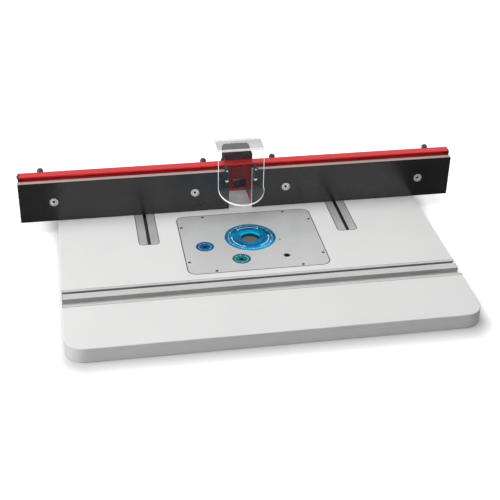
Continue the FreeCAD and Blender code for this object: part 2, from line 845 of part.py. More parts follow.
def make_face(side):
    """One sliding sub-fence with its two countersunk bolts and their washers."""
    sign = -1 if side == "left" else 1
    near = d.face_gap / 2
    start = near if sign > 0 else -near - d.face_length
    front = d.fence_face - d.face_thickness
    low, high = top + d.face_float, top + d.face_top
    rear = d.fence_face - d.face_back_gap
    outline = [(front, low), (rear, low), (rear, high), (front, high)]
    panel = extruded(f"{side}_panel", "YZ_Plane", outline, d.face_length, (start, 0, 0))
    rounded(panel, d.face_edge, lambda b: b.XLength > 1, "Chamfer")
    bolts, washers, seats = [], [], []
    cone, length = d.bolt_head - d.bolt_radius, d.face_thickness + d.wall + 15
    for which, x in bolt_places(side).items():
        at = (x, front, top + d.bolt_height)
        shank = [(d.bolt_radius, cone), (d.bolt_radius, length), (0, length)]
        shape = [(0, 0.3), (d.bolt_head, 0.3), *shank]
        blank = lathe(f"{side}_{which}_bolt_turned", shape, at, "Y")
        socket = hexagon(f"{side}_{which}_bolt_socket", 5.6, 4, (x, front - 0.5, top + d.bolt_height), "Y")
        bolts.append(cut(f"{side}_{which}_bolt", blank, socket))
        seat = [
            (0, -1), (d.bolt_head + 0.15, -1), (d.bolt_head + 0.15, 0.3), (d.bolt_radius + 0.15, cone),
            (d.bolt_radius + 0.15, 20), (0, 20),
        ]
        seats.append(lathe(f"{side}_{which}_seat", seat, at, "Y"))
        behind = (x, d.fence_face + d.wall + 0.2, top + d.bolt_height)
        ring = [(4.95, 0), (10.5, 0), (10.5, 1.6), (4.95, 1.6)]
        washers.append(lathe(f"{side}_{which}_washer", ring, behind, "Y"))
    node(cut(f"{side}_face", panel, *seats), f"{side}_subfence")
    node(group(f"{side}_bolts", bolts), f"{side}_face_bolts")
    node(group(f"{side}_washers", washers), f"{side}_bolt_washers")


def make_lever(side, which):
    """Clamp lever on a face bolt. Its ball end stands up behind the fence's head."""
    x = bolt_places(side)[which]
    outward = (which == "outer") == (side == "right")
    lean = d.lever_lean.value if outward else -d.lever_lean.value
    name = f"{side}_{which}"
    y, z = d.fence_face + d.wall + 2.0, top + d.bolt_height
    hub = [
        (7.5, 0), (10, 0), (11, 1), (11, 20.5), (9, 22.5), (0, 22.5), (0, 17), (7.5, 17),
    ]
    shell = lathe(f"{name}_hub_turned", hub, (x, y, z), "Y")
    rise, run = d.lever_depth - d.wall - 2 - 14, d.lever_reach
    across = Rotation(Vector(0, 1, 0), lean).multVec(Vector(0, 0, 1))
    tilt = Vector(run.value * across.x, rise.value, run.value * across.z)
    arm = doc.addObject("Part::Cone", f"{name}_arm")
    bind(arm, Radius1=6.4, Radius2=4.6, Height=tilt.Length)
    place(arm, (x, y + 14, z), turn=Rotation(Vector(0, 0, 1), tilt))
    ball = doc.addObject("Part::Sphere", f"{name}_ball")
    bind(ball, Radius=d.lever_ball)
    place(ball, (x + run * across.x, d.fence_face + d.lever_depth, z + run * across.z))
    bore = cylinder(f"{name}_bore", 7.5, 17, (x, y, z), "Y")
    node(cut(f"{name}_handle", fuse(f"{name}_solid", shell, arm, ball), bore), f"{name}_lever")
    inner = d.bolt_radius + 0.06
    insert = [(inner, 0.1), (7.5, 0.1), (7.5, 16), (inner, 16)]
    node(lathe(f"{name}_insert", insert, (x, y, z), "Y"), f"{name}_lever_hub")


# ---------------------------------------------------------------- guard

def make_guard():
    """Clear guard: a top flange, an upright plate and a drooping half-round visor in one sheet."""
    t, front = d.guard_sheet, d.guard_face
    rear, bend = front + t, top + d.guard_bend
    high = top + d.guard_top
    droop = Rotation(Vector(1, 0, 0), d.guard_droop.value)
    ahead = droop.multVec(Vector(0, -1, 0))
    down = droop.multVec(Vector(0, 0, -1))
    reach = d.guard_reach
    knee = (front, bend)
    tip = (front + reach * ahead.y, bend + reach * ahead.z)
    under = (tip[0] + t * down.y, tip[1] + t * down.z)
    slope = ahead.z / ahead.y
    heel = (rear, under[1] + (rear - under[0]) * slope)
    outline = [
        knee, (front, high), (front + d.guard_back, high), (front + d.guard_back, high - t),
        (rear, high - t), heel, under, tip,
    ]
    half = d.guard_half
    bent = extruded("guard_bent", "YZ_Plane", outline, half * 2, (-half, 0, 0))

    def near(bounds, point, tolerance=0.05):
        y, z = size(point[0]).value, size(point[1]).value
        return bounds.XLength > 1 and abs(bounds.YMin - y) < tolerance and abs(bounds.ZMin - z) < tolerance

    rounded(bent, d.guard_bend_round, lambda b: near(b, (front, high)) or near(b, heel))
    rounded(bent, d.guard_bend_round - t, lambda b: near(b, (rear, high - t)) or near(b, knee))

    centre_out = reach - half
    centre = (0, knee[0] + centre_out * ahead.y, knee[1] + centre_out * ahead.z)
    block = doc.addObject("Part::Box", "visor_block")
    bind(block, Length=half * 2 + 8, Width=60, Height=40)
    corner = droop.multVec(Vector(-half.value - 4, -60, -20))
    place(block, tuple(size(c) + s for c, s in zip(centre, corner)), turn=droop)
    round_tool = cylinder("visor_round", half, 60, (0, 0, 0), turn=droop)
    low = droop.multVec(Vector(0, 0, -30))
    place(round_tool, tuple(size(c) + s for c, s in zip(centre, low)), turn=droop)
    trim = cut("visor_trim", block, round_tool)
    slots = []
    for sign in (-1, 1):
        middle = top + d.tee_height - d.guard_travel / 2 + 0.3
        at = (d.guard_screw_across * sign, front - 2, middle)
        slots.append(slot(f"guard_slot{sign}", d.guard_slot, d.guard_travel / 2 + 0.3, 12, at, "Z", "Y"))
    node(cut("guard", bent, trim, *slots), "guard_shield")


def make_guard_hardware():
    face, guard_rear = d.fence_face, d.guard_face + d.guard_sheet
    height, r = top + d.tee_height, d.guard_screw
    screws, spacers, nuts = [], [], []
    for sign in (-1, 1):
        x = d.guard_screw_across * sign
        head = d.guard_face - 0.1
        end = face + d.tee_depth - 0.4 - head
        outline = [(0, -2.7), (2.6, -2.7), (4.2, -1.6), (4.9, -0.4), (4.9, 0), (r, 0), (r, end), (0, end)]
        blank = lathe(f"guard_screw_turned{sign}", outline, (x, head, height), "Y")
        socket = hexagon(f"guard_screw_socket{sign}", 3.0, 2.0, (x, head - 3.2, height), "Y")
        screws.append(cut(f"guard_screw{sign}", blank, socket))
        start = guard_rear + 0.1
        tube = [(r + 0.1, 0), (4.2, 0), (4.2, face - start), (r + 0.1, face - start)]
        spacers.append(lathe(f"guard_spacer{sign}", tube, (x, start, height), "Y"))
        seat = face + d.tee_neck_depth
        block = box(f"guard_nut_block{sign}", (x - 4, seat, height - 4), (x + 4, seat + 3.2, height + 4))
        hole = cylinder(f"guard_nut_hole{sign}", r + 0.05, 10, (x, face, height), "Y")
        nuts.append(cut(f"guard_nut{sign}", block, hole))
    node(group("guard_screw_set", screws), "guard_screws")
    node(group("guard_spacer_set", spacers), "guard_spacers")
    node(group("guard_nut_set", nuts), "guard_nuts")


make_board()
make_plate()
make_ring()
make_dial("left")
make_dial("front")
make_extrusion()
make_end_caps()
make_hood()
make_fence_clamps()
for hand in ("left", "right"):
    make_face(hand)
    make_lever(hand, "inner")
    make_lever(hand, "outer")
make_guard()
make_guard_hardware()

doc.recompute()
for item in doc.Objects:
    if {"Invalid", "Error"} & set(item.State):
        raise RuntimeError(f"{item.Name} failed: {item.State}")
for item in nodes:
    if item.Shape.isNull() or not item.Shape.isValid():
        raise RuntimeError(f"{item.Label} has no valid shape")

os.makedirs("parts", exist_ok=True)
for item in nodes:
    item.Shape.exportStep(f"parts/{item.Label}.step")
    b = item.Shape.BoundBox
    print(
        f"{item.Label:26s} solids {len(item.Shape.Solids)} volume {item.Shape.Volume:12.1f}"
        f"  x {b.XMin:8.2f} {b.XMax:8.2f}  y {b.YMin:8.2f} {b.YMax:8.2f}  z {b.ZMin:7.2f} {b.ZMax:7.2f}"
    )
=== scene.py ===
import json
import math
from functools import partial

import bmesh
import bpy
from mathutils import Matrix, Vector


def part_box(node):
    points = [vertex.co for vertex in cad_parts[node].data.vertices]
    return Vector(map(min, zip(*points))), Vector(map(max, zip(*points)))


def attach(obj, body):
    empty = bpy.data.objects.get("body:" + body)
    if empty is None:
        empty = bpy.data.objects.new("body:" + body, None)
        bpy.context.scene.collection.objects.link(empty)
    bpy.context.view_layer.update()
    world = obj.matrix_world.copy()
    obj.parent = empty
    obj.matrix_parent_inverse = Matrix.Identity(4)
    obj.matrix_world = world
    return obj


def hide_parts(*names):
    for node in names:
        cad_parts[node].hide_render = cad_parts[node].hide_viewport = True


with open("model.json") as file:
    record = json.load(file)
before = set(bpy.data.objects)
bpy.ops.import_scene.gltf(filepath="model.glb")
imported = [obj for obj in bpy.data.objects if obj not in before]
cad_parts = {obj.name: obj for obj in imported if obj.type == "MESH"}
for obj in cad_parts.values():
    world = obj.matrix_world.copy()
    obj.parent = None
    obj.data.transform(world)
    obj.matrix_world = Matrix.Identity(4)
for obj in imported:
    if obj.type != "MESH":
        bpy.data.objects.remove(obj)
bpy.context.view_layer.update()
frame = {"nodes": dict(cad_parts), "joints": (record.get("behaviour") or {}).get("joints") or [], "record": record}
NODES = frame["nodes"]
MM = 0.001
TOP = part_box("top_laminate")[1].z

# ---------------------------------------------------------------- camera, light and floor

CAMERA_PLACE = (-0.3584, -1.8694, 1.2060)
CAMERA_YAW = math.radians(10.635)
CAMERA_PITCH = math.radians(31.847)
CAMERA_ROLL = math.radians(1.270)
CAMERA_LENS = 76.18
SOFT_LIGHT = 0.02
GLOSS_LIGHT = 0.85
BACKDROP_LIGHT = 1.1
# Floor glow to the camera only: low at the board's foot as a painted soft shadow, shifted forward, and rising over
# the run to a far level that also lightens the real shadow under the fence's ends.
FLOOR_GLOW_NEAR = 0.12
FLOOR_GLOW_FAR = 0.85
FLOOR_GLOW_RUN = 0.055
FLOOR_SHADE_SHIFT = Vector((0.003, -0.020, 0.0))
FLOOR_GREY = 0.42
FLOOR_GREY_MIRRORED = 0.10
FLOOR_GREY_SEEN = 0.60
FLOOR_HALF = 30.0
FLOOR_DROP = 0.4 * MM
BOARD_CORNER = 38 * MM


def make_camera():
    data = bpy.data.cameras.new("studio_camera")
    data.sensor_width = 36.0
    data.lens = CAMERA_LENS
    data.clip_start, data.clip_end = 0.05, 100.0
    camera = bpy.data.objects.new("studio_camera", data)
    bpy.context.scene.collection.objects.link(camera)
    turn = (
        Matrix.Rotation(-CAMERA_YAW, 4, "Z")
        @ Matrix.Rotation(math.pi / 2 - CAMERA_PITCH, 4, "X")
        @ Matrix.Rotation(CAMERA_ROLL, 4, "Z")
    )
    camera.matrix_world = Matrix.Translation(CAMERA_PLACE) @ turn
    bpy.context.scene.camera = camera


def softbox(name, place, aim, width, depth, power):
    data = bpy.data.lights.new(name, "AREA")
    data.shape = "RECTANGLE"
    data.size, data.size_y = width, depth
    data.energy = power
    lamp = bpy.data.objects.new(name, data)
    bpy.context.scene.collection.objects.link(lamp)
    lamp.location = place
    lamp.rotation_euler = (Vector(aim) - Vector(place)).to_track_quat("-Z", "Y").to_euler()
    return lamp


def make_lights():
    overhead = softbox(
        "overhead", place=(-0.3, 0.4, 3.0), aim=(0, 0.1, 0), width=3.6, depth=3.0, power=103.0
    )
    overhead.visible_glossy = False
    softbox("left_window", place=(-2.6, -0.6, 0.62), aim=(0, 0, 0.1), width=1.6, depth=1.0, power=42.0)
    softbox("front_fill", place=(1.2, -3.0, 1.0), aim=(0.1, 0, 0.05), width=2.4, depth=1.2, power=16.0)
    softbox("key", place=(-1.1, -1.6, 2.6), aim=(0, 0.1, 0.1), width=0.3, depth=0.3, power=7.0)
    mouth = softbox(
        "mouth_fill", place=(0, 0.232, 0.125), aim=(0, 0.222, 0.03), width=0.04, depth=0.02, power=0.008
    )
    mouth.data.spread = math.radians(80)


def by_ray(tree, path, kind, usual, mirrored, seen):
    """A value that differs in what glossy surfaces mirror and in what the camera sees."""
    result = None
    for ray, value in (("Is Glossy Ray", mirrored), ("Is Camera Ray", seen)):
        mix = tree.nodes.new("ShaderNodeMix")
        mix.data_type = kind
        mix.inputs["A"].default_value = usual
        mix.inputs["B"].default_value = value
        if result:
            tree.links.new(result, mix.inputs["A"])
        tree.links.new(path.outputs[ray], mix.inputs["Factor"])
        result = mix.outputs["Result"]
    return result


def make_world():
    """White to the camera, a little less in mirrors, and dim as a source of light."""
    world = bpy.data.worlds.new("studio")
    bpy.context.scene.world = world
    world.use_nodes = True
    tree = world.node_tree
    background = tree.nodes["Background"]
    background.inputs["Color"].default_value = (1.0, 1.0, 1.0, 1.0)
    path = tree.nodes.new("ShaderNodeLightPath")
    level = by_ray(tree, path, "FLOAT", SOFT_LIGHT, GLOSS_LIGHT, BACKDROP_LIGHT)
    tree.links.new(level, background.inputs["Strength"])


def outline_distance(tree, place, node, corner, shift=Vector((0, 0, 0))):
    """How far a place lies, seen from above, from a node's box less its corner radius.

    At the node's rounded outline it is the corner radius."""
    low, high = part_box(node)
    middle, half = (low + high) / 2 + shift, (high - low) / 2
    beyond_any_height = 1.0
    straight = (half.x - corner, half.y - corner, beyond_any_height)
    steps = (
        ("SUBTRACT", middle),
        ("ABSOLUTE", None),
        ("SUBTRACT", straight),
        ("MAXIMUM", (0, 0, 0)),
        ("LENGTH", None),
    )
    for operation, value in steps:
        step = tree.nodes.new("ShaderNodeVectorMath")
        step.operation = operation
        tree.links.new(place, step.inputs[0])
        if value is not None:
            step.inputs[1].default_value = value
        place = step.outputs["Value" if operation == "LENGTH" else "Vector"]
    return place


def grey(level):
    return (level, level, level, 1)


def floor_material():
    """Pale grey that glows to the camera only, less so in a painted soft shadow at the board's foot."""
    look = bpy.data.materials.new("floor_white")
    look.use_nodes = True
    tree = look.node_tree
    shader = tree.nodes["Principled BSDF"]
    shader.inputs["Roughness"].default_value = 0.9
    shader.inputs["Specular IOR Level"].default_value = 0.0
    path = tree.nodes.new("ShaderNodeLightPath")
    tone = by_ray(tree, path, "RGBA", grey(FLOOR_GREY), grey(FLOOR_GREY_MIRRORED), grey(FLOOR_GREY_SEEN))
    tree.links.new(tone, shader.inputs["Base Color"])
    where = tree.nodes.new("ShaderNodeTexCoord").outputs["Object"]
    away = outline_distance(tree, where, "bottom_laminate", BOARD_CORNER, FLOOR_SHADE_SHIFT)
    sweep = tree.nodes.new("ShaderNodeMapRange")
    sweep.interpolation_type = "SMOOTHSTEP"
    run = {"From Min": BOARD_CORNER - 0.1 * FLOOR_GLOW_RUN, "From Max": BOARD_CORNER + FLOOR_GLOW_RUN}
    for socket, value in {**run, "To Min": FLOOR_GLOW_NEAR, "To Max": FLOOR_GLOW_FAR}.items():
        sweep.inputs[socket].default_value = value
    tree.links.new(away, sweep.inputs["Value"])
    glow = tree.nodes.new("ShaderNodeMath")
    glow.operation = "MULTIPLY"
    tree.links.new(sweep.outputs["Result"], glow.inputs[0])
    tree.links.new(path.outputs["Is Camera Ray"], glow.inputs[1])
    tree.links.new(glow.outputs["Value"], shader.inputs["Emission Strength"])
    shader.inputs["Emission Color"].default_value = grey(1)
    return look


def make_floor():
    mesh = bpy.data.meshes.new("floor")
    signs = ((-1, -1), (1, -1), (1, 1), (-1, 1))
    mesh.from_pydata([(x * FLOOR_HALF, y * FLOOR_HALF, -FLOOR_DROP) for x, y in signs], [], [(0, 1, 2, 3)])
    floor = bpy.data.objects.new("floor", mesh)
    bpy.context.scene.collection.objects.link(floor)
    mesh.materials.append(floor_material())


# ---------------------------------------------------------------- material building blocks

class Look:
    """A Principled material with helpers that wire procedural detail in object space."""

    def __init__(self, name, **uniform):
        self.material = bpy.data.materials.new(name)
        self.material.use_nodes = True
        self.tree = self.material.node_tree
        self.shader = self.tree.nodes["Principled BSDF"]
        self.where = self.tree.nodes.new("ShaderNodeTexCoord").outputs["Object"]
        for socket, value in uniform.items():
            self.shader.inputs[socket.replace("_", " ")].default_value = value

    def link(self, source, target):
        self.tree.links.new(source, target)

    def stretched(self, stretch, centre=(0, 0, 0)):
        """Object coordinates moved to a centre and scaled, so that detail can run along one axis."""
        mapping = self.tree.nodes.new("ShaderNodeMapping")
        mapping.inputs["Scale"].default_value = stretch
        mapping.inputs["Location"].default_value = [-c * s for c, s in zip(centre, stretch)]
        self.link(self.where, mapping.inputs["Vector"])
        return mapping.outputs["Vector"]

    def noise(self, scale, detail=3.0, rough=0.55, stretch=None):
        node = self.tree.nodes.new("ShaderNodeTexNoise")
        node.inputs["Scale"].default_value = scale
        node.inputs["Detail"].default_value = detail
        node.inputs["Roughness"].default_value = rough
        self.link(self.stretched(stretch) if stretch else self.where, node.inputs["Vector"])
        return node.outputs["Fac"]

    def rings(self, scale, centre, distortion=0.4):
        """Fine turning marks about an upright axis."""
        node = self.tree.nodes.new("ShaderNodeTexWave")
        node.wave_type = "RINGS"
        node.rings_direction = "Z"
        node.inputs["Scale"].default_value = scale
        node.inputs["Distortion"].default_value = distortion
        node.inputs["Detail"].default_value = 2.0
        self.link(self.stretched((1, 1, 1), centre), node.inputs["Vector"])
        return node.outputs["Fac"]

    def ranged(self, source, low, high, start=0.3, end=0.7):
        node = self.tree.nodes.new("ShaderNodeMapRange")
        values = {"From Min": start, "From Max": end, "To Min": low, "To Max": high}
        for socket, value in values.items():
            node.inputs[socket].default_value = value
        self.link(source, node.inputs["Value"])
        return node.outputs["Result"]

    def blend(self, factor, first, second):
        node = self.tree.nodes.new("ShaderNodeMix")
        node.data_type = "RGBA"
        for socket, value in (("A", first), ("B", second)):
            if isinstance(value, tuple):
                node.inputs[socket].default_value = (*value, 1.0)
            else:
                self.link(value, node.inputs[socket])
        self.link(factor, node.inputs["Factor"])
        return node.outputs["Result"]

    def added(self, first, second, share):
        node = self.tree.nodes.new("ShaderNodeMath")
        node.operation = "MULTIPLY_ADD"
        self.link(second, node.inputs[0])
        node.inputs[1].default_value = share
        self.link(first, node.inputs[2])
        return node.outputs["Value"]

    def edges(self, reach):
        """Near 1 along worn edges and 0 on open faces."""
        bevel = self.tree.nodes.new("ShaderNodeBevel")
        bevel.samples = 4
        bevel.inputs["Radius"].default_value = reach
        normal = self.tree.nodes.new("ShaderNodeNewGeometry")
        dot = self.tree.nodes.new("ShaderNodeVectorMath")
        dot.operation = "DOT_PRODUCT"
        self.link(bevel.outputs["Normal"], dot.inputs[0])
        self.link(normal.outputs["Normal"], dot.inputs[1])
        return self.ranged(dot.outputs["Value"], 1.0, 0.0, start=0.80, end=0.97)

    def rim(self, node, corner, width):
        """1 on upward faces in a narrow strip along the outline of a node with rounded corners, where painted
        shade goes.
        """
        away = outline_distance(self.tree, self.where, node, corner)
        strip = self.ranged(away, 0.0, 1.0, corner - width, corner - 0.8 * width)
        upward = self.tree.nodes.new("ShaderNodeSeparateXYZ")
        self.link(self.tree.nodes.new("ShaderNodeNewGeometry").outputs["Normal"], upward.inputs["Vector"])
        both = self.tree.nodes.new("ShaderNodeMath")
        both.operation = "MULTIPLY"
        self.link(strip, both.inputs[0])
        self.link(self.ranged(upward.outputs["Z"], 0.0, 1.0, 0.4, 0.6), both.inputs[1])
        return both.outputs["Value"]

    def colour(self, source):
        self.link(source, self.shader.inputs["Base Color"])

    def roughness(self, source):
        self.link(source, self.shader.inputs["Roughness"])

    def bump(self, height, strength, distance):
        node = self.tree.nodes.new("ShaderNodeBump")
        node.inputs["Strength"].default_value = strength
        node.inputs["Distance"].default_value = distance
        self.link(height, node.inputs["Height"])
        self.link(node.outputs["Normal"], self.shader.inputs["Normal"])


# Painted shade for the gap round inset parts, laid along their outline.
RIM_SHADE_PAINT = (0.025, 0.025, 0.026)
ALONG_X = (0.02, 1.0, 1.0)
ALONG_Y = (1.0, 0.02, 1.0)
CLOUD_SHADE = 0.86


def lifted(colour, share, lift):
    """A colour scaled and then lightened, no further than white."""
    return tuple(min(1.0, share * c + lift) for c in colour)


def white_laminate():
    look = Look("white_laminate", Specular_IOR_Level=0.45)
    cloud = look.noise(5.0, 4.0)
    speck = look.noise(700.0, 2.0)
    tone = look.ranged(look.added(cloud, speck, 0.5), 0.0, 1.0, 0.5, 1.0)
    look.colour(look.blend(tone, (0.70, 0.70, 0.695), (0.745, 0.745, 0.74)))
    look.roughness(look.ranged(look.noise(60.0), 0.34, 0.46))
    look.bump(look.noise(1600.0, 2.0), 0.12, 0.00004)
    return look.material


def rim_plastic():
    look = Look("rim_plastic", Specular_IOR_Level=0.35)
    streak = look.noise(400.0, 3.0, stretch=(0.05, 0.05, 1.0))
    tone = look.ranged(streak, 0.0, 1.0)
    look.colour(look.blend(tone, (0.68, 0.68, 0.68), (0.735, 0.735, 0.73)))
    look.roughness(look.ranged(look.noise(90.0), 0.45, 0.6))
    look.bump(look.noise(1200.0, 2.0), 0.15, 0.00004)
    return look.material


def metal(
    name, dark, light, rough, streak=None, scale=900.0, bump=0.2, shine=1.0, wear=0.45, rim=None, **uniform
):
    """Bare or anodised metal with drawn, brushed or plain grain, and brighter worn edges.

    With a rim given, the strip along the part's outline is painted dark, as the shade in the gap round the part."""
    look = Look(name, Metallic=shine, **uniform)
    grain = look.noise(scale, 3.0, 0.6, streak)
    cloud = look.noise(14.0, 3.0)
    tone = look.blend(look.ranged(grain, 0.0, 1.0), dark, light)
    shade = lifted(dark, CLOUD_SHADE, 0.0)
    tone = look.blend(look.ranged(cloud, 0.35, 0.0), tone, shade)
    edge = light if "Coat_Weight" in uniform else lifted(light, 0.35, 0.62)
    tone = look.blend(look.ranged(look.edges(0.00035), 0.0, wear, 0.2, 1.0), tone, edge)
    look.colour(look.blend(look.rim(*rim), tone, RIM_SHADE_PAINT) if rim else tone)
    look.roughness(look.ranged(look.added(cloud, grain, 0.6), rough - 0.06, rough + 0.08, 0.5, 1.1))
    look.bump(grain, bump, 0.00005)
    return look.material


def track_metal(name, grain, rim):
    dark, light = (0.58, 0.58, 0.575), (0.72, 0.72, 0.715)
    return metal(name, dark, light, rough=0.36, streak=grain, shine=0.5, rim=rim)


def turned_metal(name, dark, light, centre, rough=0.3):
    look = Look(name, Metallic=1.0)
    marks = look.rings(520.0, centre)
    cloud = look.noise(30.0, 3.0)
    tone = look.blend(look.ranged(look.added(cloud, marks, 0.35), 0.0, 1.0, 0.45, 0.95), dark, light)
    worn = look.ranged(look.edges(0.0003), 0.0, 0.5, 0.2, 1.0)
    look.colour(look.blend(worn, tone, lifted(light, 0.6, 0.35)))
    look.roughness(look.ranged(marks, rough - 0.06, rough + 0.08, 0.0, 1.0))
    look.bump(marks, 0.25, 0.00004)
    return look.material


def plastic(name, dark, light, rough, texture=1500.0, bump=0.25, **uniform):
    look = Look(name, **uniform)
    fine = look.noise(texture, 2.0)
    cloud = look.noise(22.0, 3.0)
    tone = look.blend(look.ranged(cloud, 0.0, 1.0), dark, light)
    scuffed = look.ranged(look.edges(0.0005), 0.0, 0.5, 0.3, 1.0)
    look.colour(look.blend(scuffed, tone, lifted(light, 2.2, 0.03)))
    look.roughness(look.ranged(look.added(cloud, fine, 0.4), rough - 0.06, rough + 0.1, 0.45, 0.95))
    look.bump(fine, bump, 0.00006)
    return look.material


def black_facing():
    """Smooth black facing with faint lengthwise rubbing marks."""
    look = Look("black_facing", Specular_IOR_Level=0.55)
    rub = look.noise(520.0, 4.0, 0.6, (0.012, 1.0, 1.0))
    cloud = look.noise(7.0, 3.0)
    tone = look.blend(look.ranged(cloud, 0.0, 1.0), (0.010, 0.010, 0.011), (0.020, 0.020, 0.021))
    look.colour(look.blend(look.ranged(look.edges(0.0005), 0.0, 0.6, 0.2, 1.0), tone, (0.16, 0.16, 0.165)))
    look.roughness(look.ranged(look.added(cloud, rub, 0.12), 0.22, 0.30, 0.35, 0.80))
    look.bump(rub, 0.008, 0.00002)
    return look.material


def clear_sheet():
    """Clear sheet seen through its faces: mostly transparent, glossier at a glance."""
    tint = (0.13, 0.135, 0.137, 1.0)
    look = Look("clear_sheet", Base_Color=tint, IOR=1.6, Coat_Weight=0.3, Coat_Roughness=0.02)
    glance = look.tree.nodes.new("ShaderNodeLayerWeight")
    glance.inputs["Blend"].default_value = 0.35
    haze = look.added(glance.outputs["Facing"], look.noise(40.0, 3.0), 0.12)
    look.link(look.ranged(haze, 0.05, 0.46, 0.19, 0.50), look.shader.inputs["Alpha"])
    look.roughness(look.ranged(look.noise(120.0, 4.0), 0.03, 0.09))
    look.bump(look.noise(25.0, 1.0), 0.05, 0.0002)
    return look.material


def clear_edge():
    """Polished edge of the clear sheet, painted white with a faint glow: a painted highlight for the light it
    gathers.
    """
    look = Look("clear_edge", IOR=1.6, Coat_Weight=0.5, Coat_Roughness=0.05, Alpha=0.95)
    tone = look.ranged(look.noise(160.0), 0.0, 1.0)
    look.colour(look.blend(tone, (0.80, 0.82, 0.83), (0.95, 0.96, 0.96)))
    look.roughness(look.ranged(look.noise(300.0), 0.12, 0.24))
    # A faint glow, part of the painted highlight.
    look.shader.inputs["Emission Color"].default_value = (1.0, 1.0, 1.0, 1.0)
    look.shader.inputs["Emission Strength"].default_value = 0.35
    return look.material


def clear_bend():
    """Heated bend of the clear sheet, painted whiter and less clear as a line of highlight."""
    look = Look("clear_bend", IOR=1.6, Coat_Weight=0.5, Coat_Roughness=0.05, Alpha=0.72)
    tone = look.ranged(look.noise(90.0), 0.0, 1.0)
    look.colour(look.blend(tone, (0.78, 0.76, 0.76), (0.94, 0.92, 0.92)))
    look.roughness(look.ranged(look.noise(300.0), 0.12, 0.24))
    return look.material


def clear_wall():
    """Sawn wall of a slot in the clear sheet, hardly visible from the front."""
    look = Look("clear_wall", IOR=1.5, Alpha=0.16)
    tone = look.ranged(look.noise(500.0), 0.0, 1.0)
    look.colour(look.blend(tone, (0.30, 0.31, 0.32), (0.55, 0.56, 0.57)))
    look.roughness(look.ranged(look.noise(300.0), 0.2, 0.4))
    return look.material


def fibreboard():
    look = Look("fibreboard", Roughness=0.85)
    fibre = look.noise(900.0, 4.0, 0.7, (0.4, 0.4, 1.0))
    tone = look.ranged(fibre, 0.0, 1.0)
    look.colour(look.blend(tone, (0.36, 0.24, 0.14), (0.52, 0.38, 0.25)))
    look.bump(fibre, 0.5, 0.0002)
    return look.material


def white_marks_and_highlight():
    look = Look("white_marks_and_highlight", Metallic=0.2)
    tone = look.ranged(look.noise(900.0), 0.0, 1.0)
    look.colour(look.blend(tone, (0.80, 0.88, 0.93), (0.96, 0.98, 1.0)))
    look.roughness(look.ranged(look.noise(500.0), 0.4, 0.6))
    look.bump(look.noise(2000.0), 0.3, 0.00003)
    return look.material


def pale_core(name, dark, light, shine, rough):
    """Light core of the face boards, with the fine lines of its layers."""
    look = Look(name, Metallic=shine)
    layer = look.noise(1400.0, 2.0, stretch=(0.02, 1.0, 0.02))
    look.colour(look.blend(look.ranged(layer, 0.0, 1.0), dark, light))
    look.roughness(look.ranged(look.noise(60.0), rough - 0.02, rough + 0.02))
    return look.material


def axis_of(joint):
    return Vector(next(j["pos_m"] for j in frame["joints"] if j["name"] == joint))


def mount(name):
    return next(m for m in frame["record"]["mounts"] if m["name"] == name)


RING_AXIS = axis_of("ring_twist")
LOOKS = {
    "mdf": fibreboard(),
    "white_laminate": white_laminate(),
    "rim_plastic": rim_plastic(),
    "track_aluminium": track_metal("track_along_x", ALONG_X, ("combo_track", 2 * MM, 0.8 * MM)),
    "plate_aluminium": metal(
        "plate_brushed", (0.57, 0.575, 0.58), (0.65, 0.655, 0.66), rough=0.42, streak=(0.04, 1, 1),
        scale=1200.0, bump=0.12, shine=0.35, rim=("insert_plate", 19 * MM, 1.6 * MM),
    ),
    "zinc_steel": metal("zinc_steel", (0.82, 0.80, 0.76), (0.96, 0.94, 0.90), 0.24, shine=0.4),
    "black_steel": metal("black_oxide", (0.025, 0.025, 0.027), (0.045, 0.045, 0.047), 0.38, wear=0.12),
    "black_plastic": plastic("black_plastic", (0.012, 0.012, 0.013), (0.022, 0.022, 0.023), 0.34),
    "black_facing": black_facing(),
    "red_anodised": metal(
        "red_anodised", (0.60, 0.012, 0.018), (0.78, 0.028, 0.032), rough=0.34, streak=ALONG_X,
        scale=700.0, bump=0.12, shine=0.5, Coat_Weight=0.15, Coat_Roughness=0.2,
    ),
    "blue_anodised": turned_metal("ring_blue", (0.001, 0.40, 0.88), (0.003, 0.60, 1.0), RING_AXIS, 0.24),
    "clear_sheet": clear_sheet(),
}
GLOSS_BLACK = plastic(
    "gloss_black", (0.008, 0.008, 0.009), (0.014, 0.014, 0.015), rough=0.14,
    texture=900.0, bump=0.06, Coat_Weight=0.6, Coat_Roughness=0.06,
)
CLEAR_EDGE = clear_edge()
CLEAR_BEND = clear_bend()
CLEAR_WALL = clear_wall()
# White for the printed graduations, and for the painted highlight on the guard's screw heads.
WHITE_MARKS_AND_HIGHLIGHT = white_marks_and_highlight()
PALE_END = pale_core("pale_core_end", (0.80, 0.77, 0.76), (0.92, 0.90, 0.89), 0.0, 0.4)
# A copy of the core for its tops, painted darker and pink as shade and the red bar's reflection.
CORE_TOP_SHADE_AND_REFLECTION = pale_core("core_top_shade_and_reflection", (0.56, 0.42, 0.40), (0.62, 0.48, 0.46), 0.3, 0.42)
# Dark metal for dark screws and the bushing, and painted shade in bolt sockets and dishes and round the plate's
# screws.
DARK_METAL_AND_SHADE_PAINT = plastic(
    "dark_metal_and_shade_paint", (0.010, 0.010, 0.011), (0.022, 0.022, 0.023), rough=0.5, bump=0.1, Metallic=0.3
)
# Painted shade for the insides of the tracks' slots, lighter in the table's track and deep in the fence's.
SLOT_SHADE_PAINT = metal("slot_shade_paint", (0.34, 0.34, 0.335), (0.44, 0.44, 0.435), 0.5, shine=0.4)
DEEP_SLOT_SHADE_PAINT = metal("deep_slot_shade_paint", (0.05, 0.05, 0.049), (0.10, 0.10, 0.098), 0.5, shine=0.4, wear=0.1)
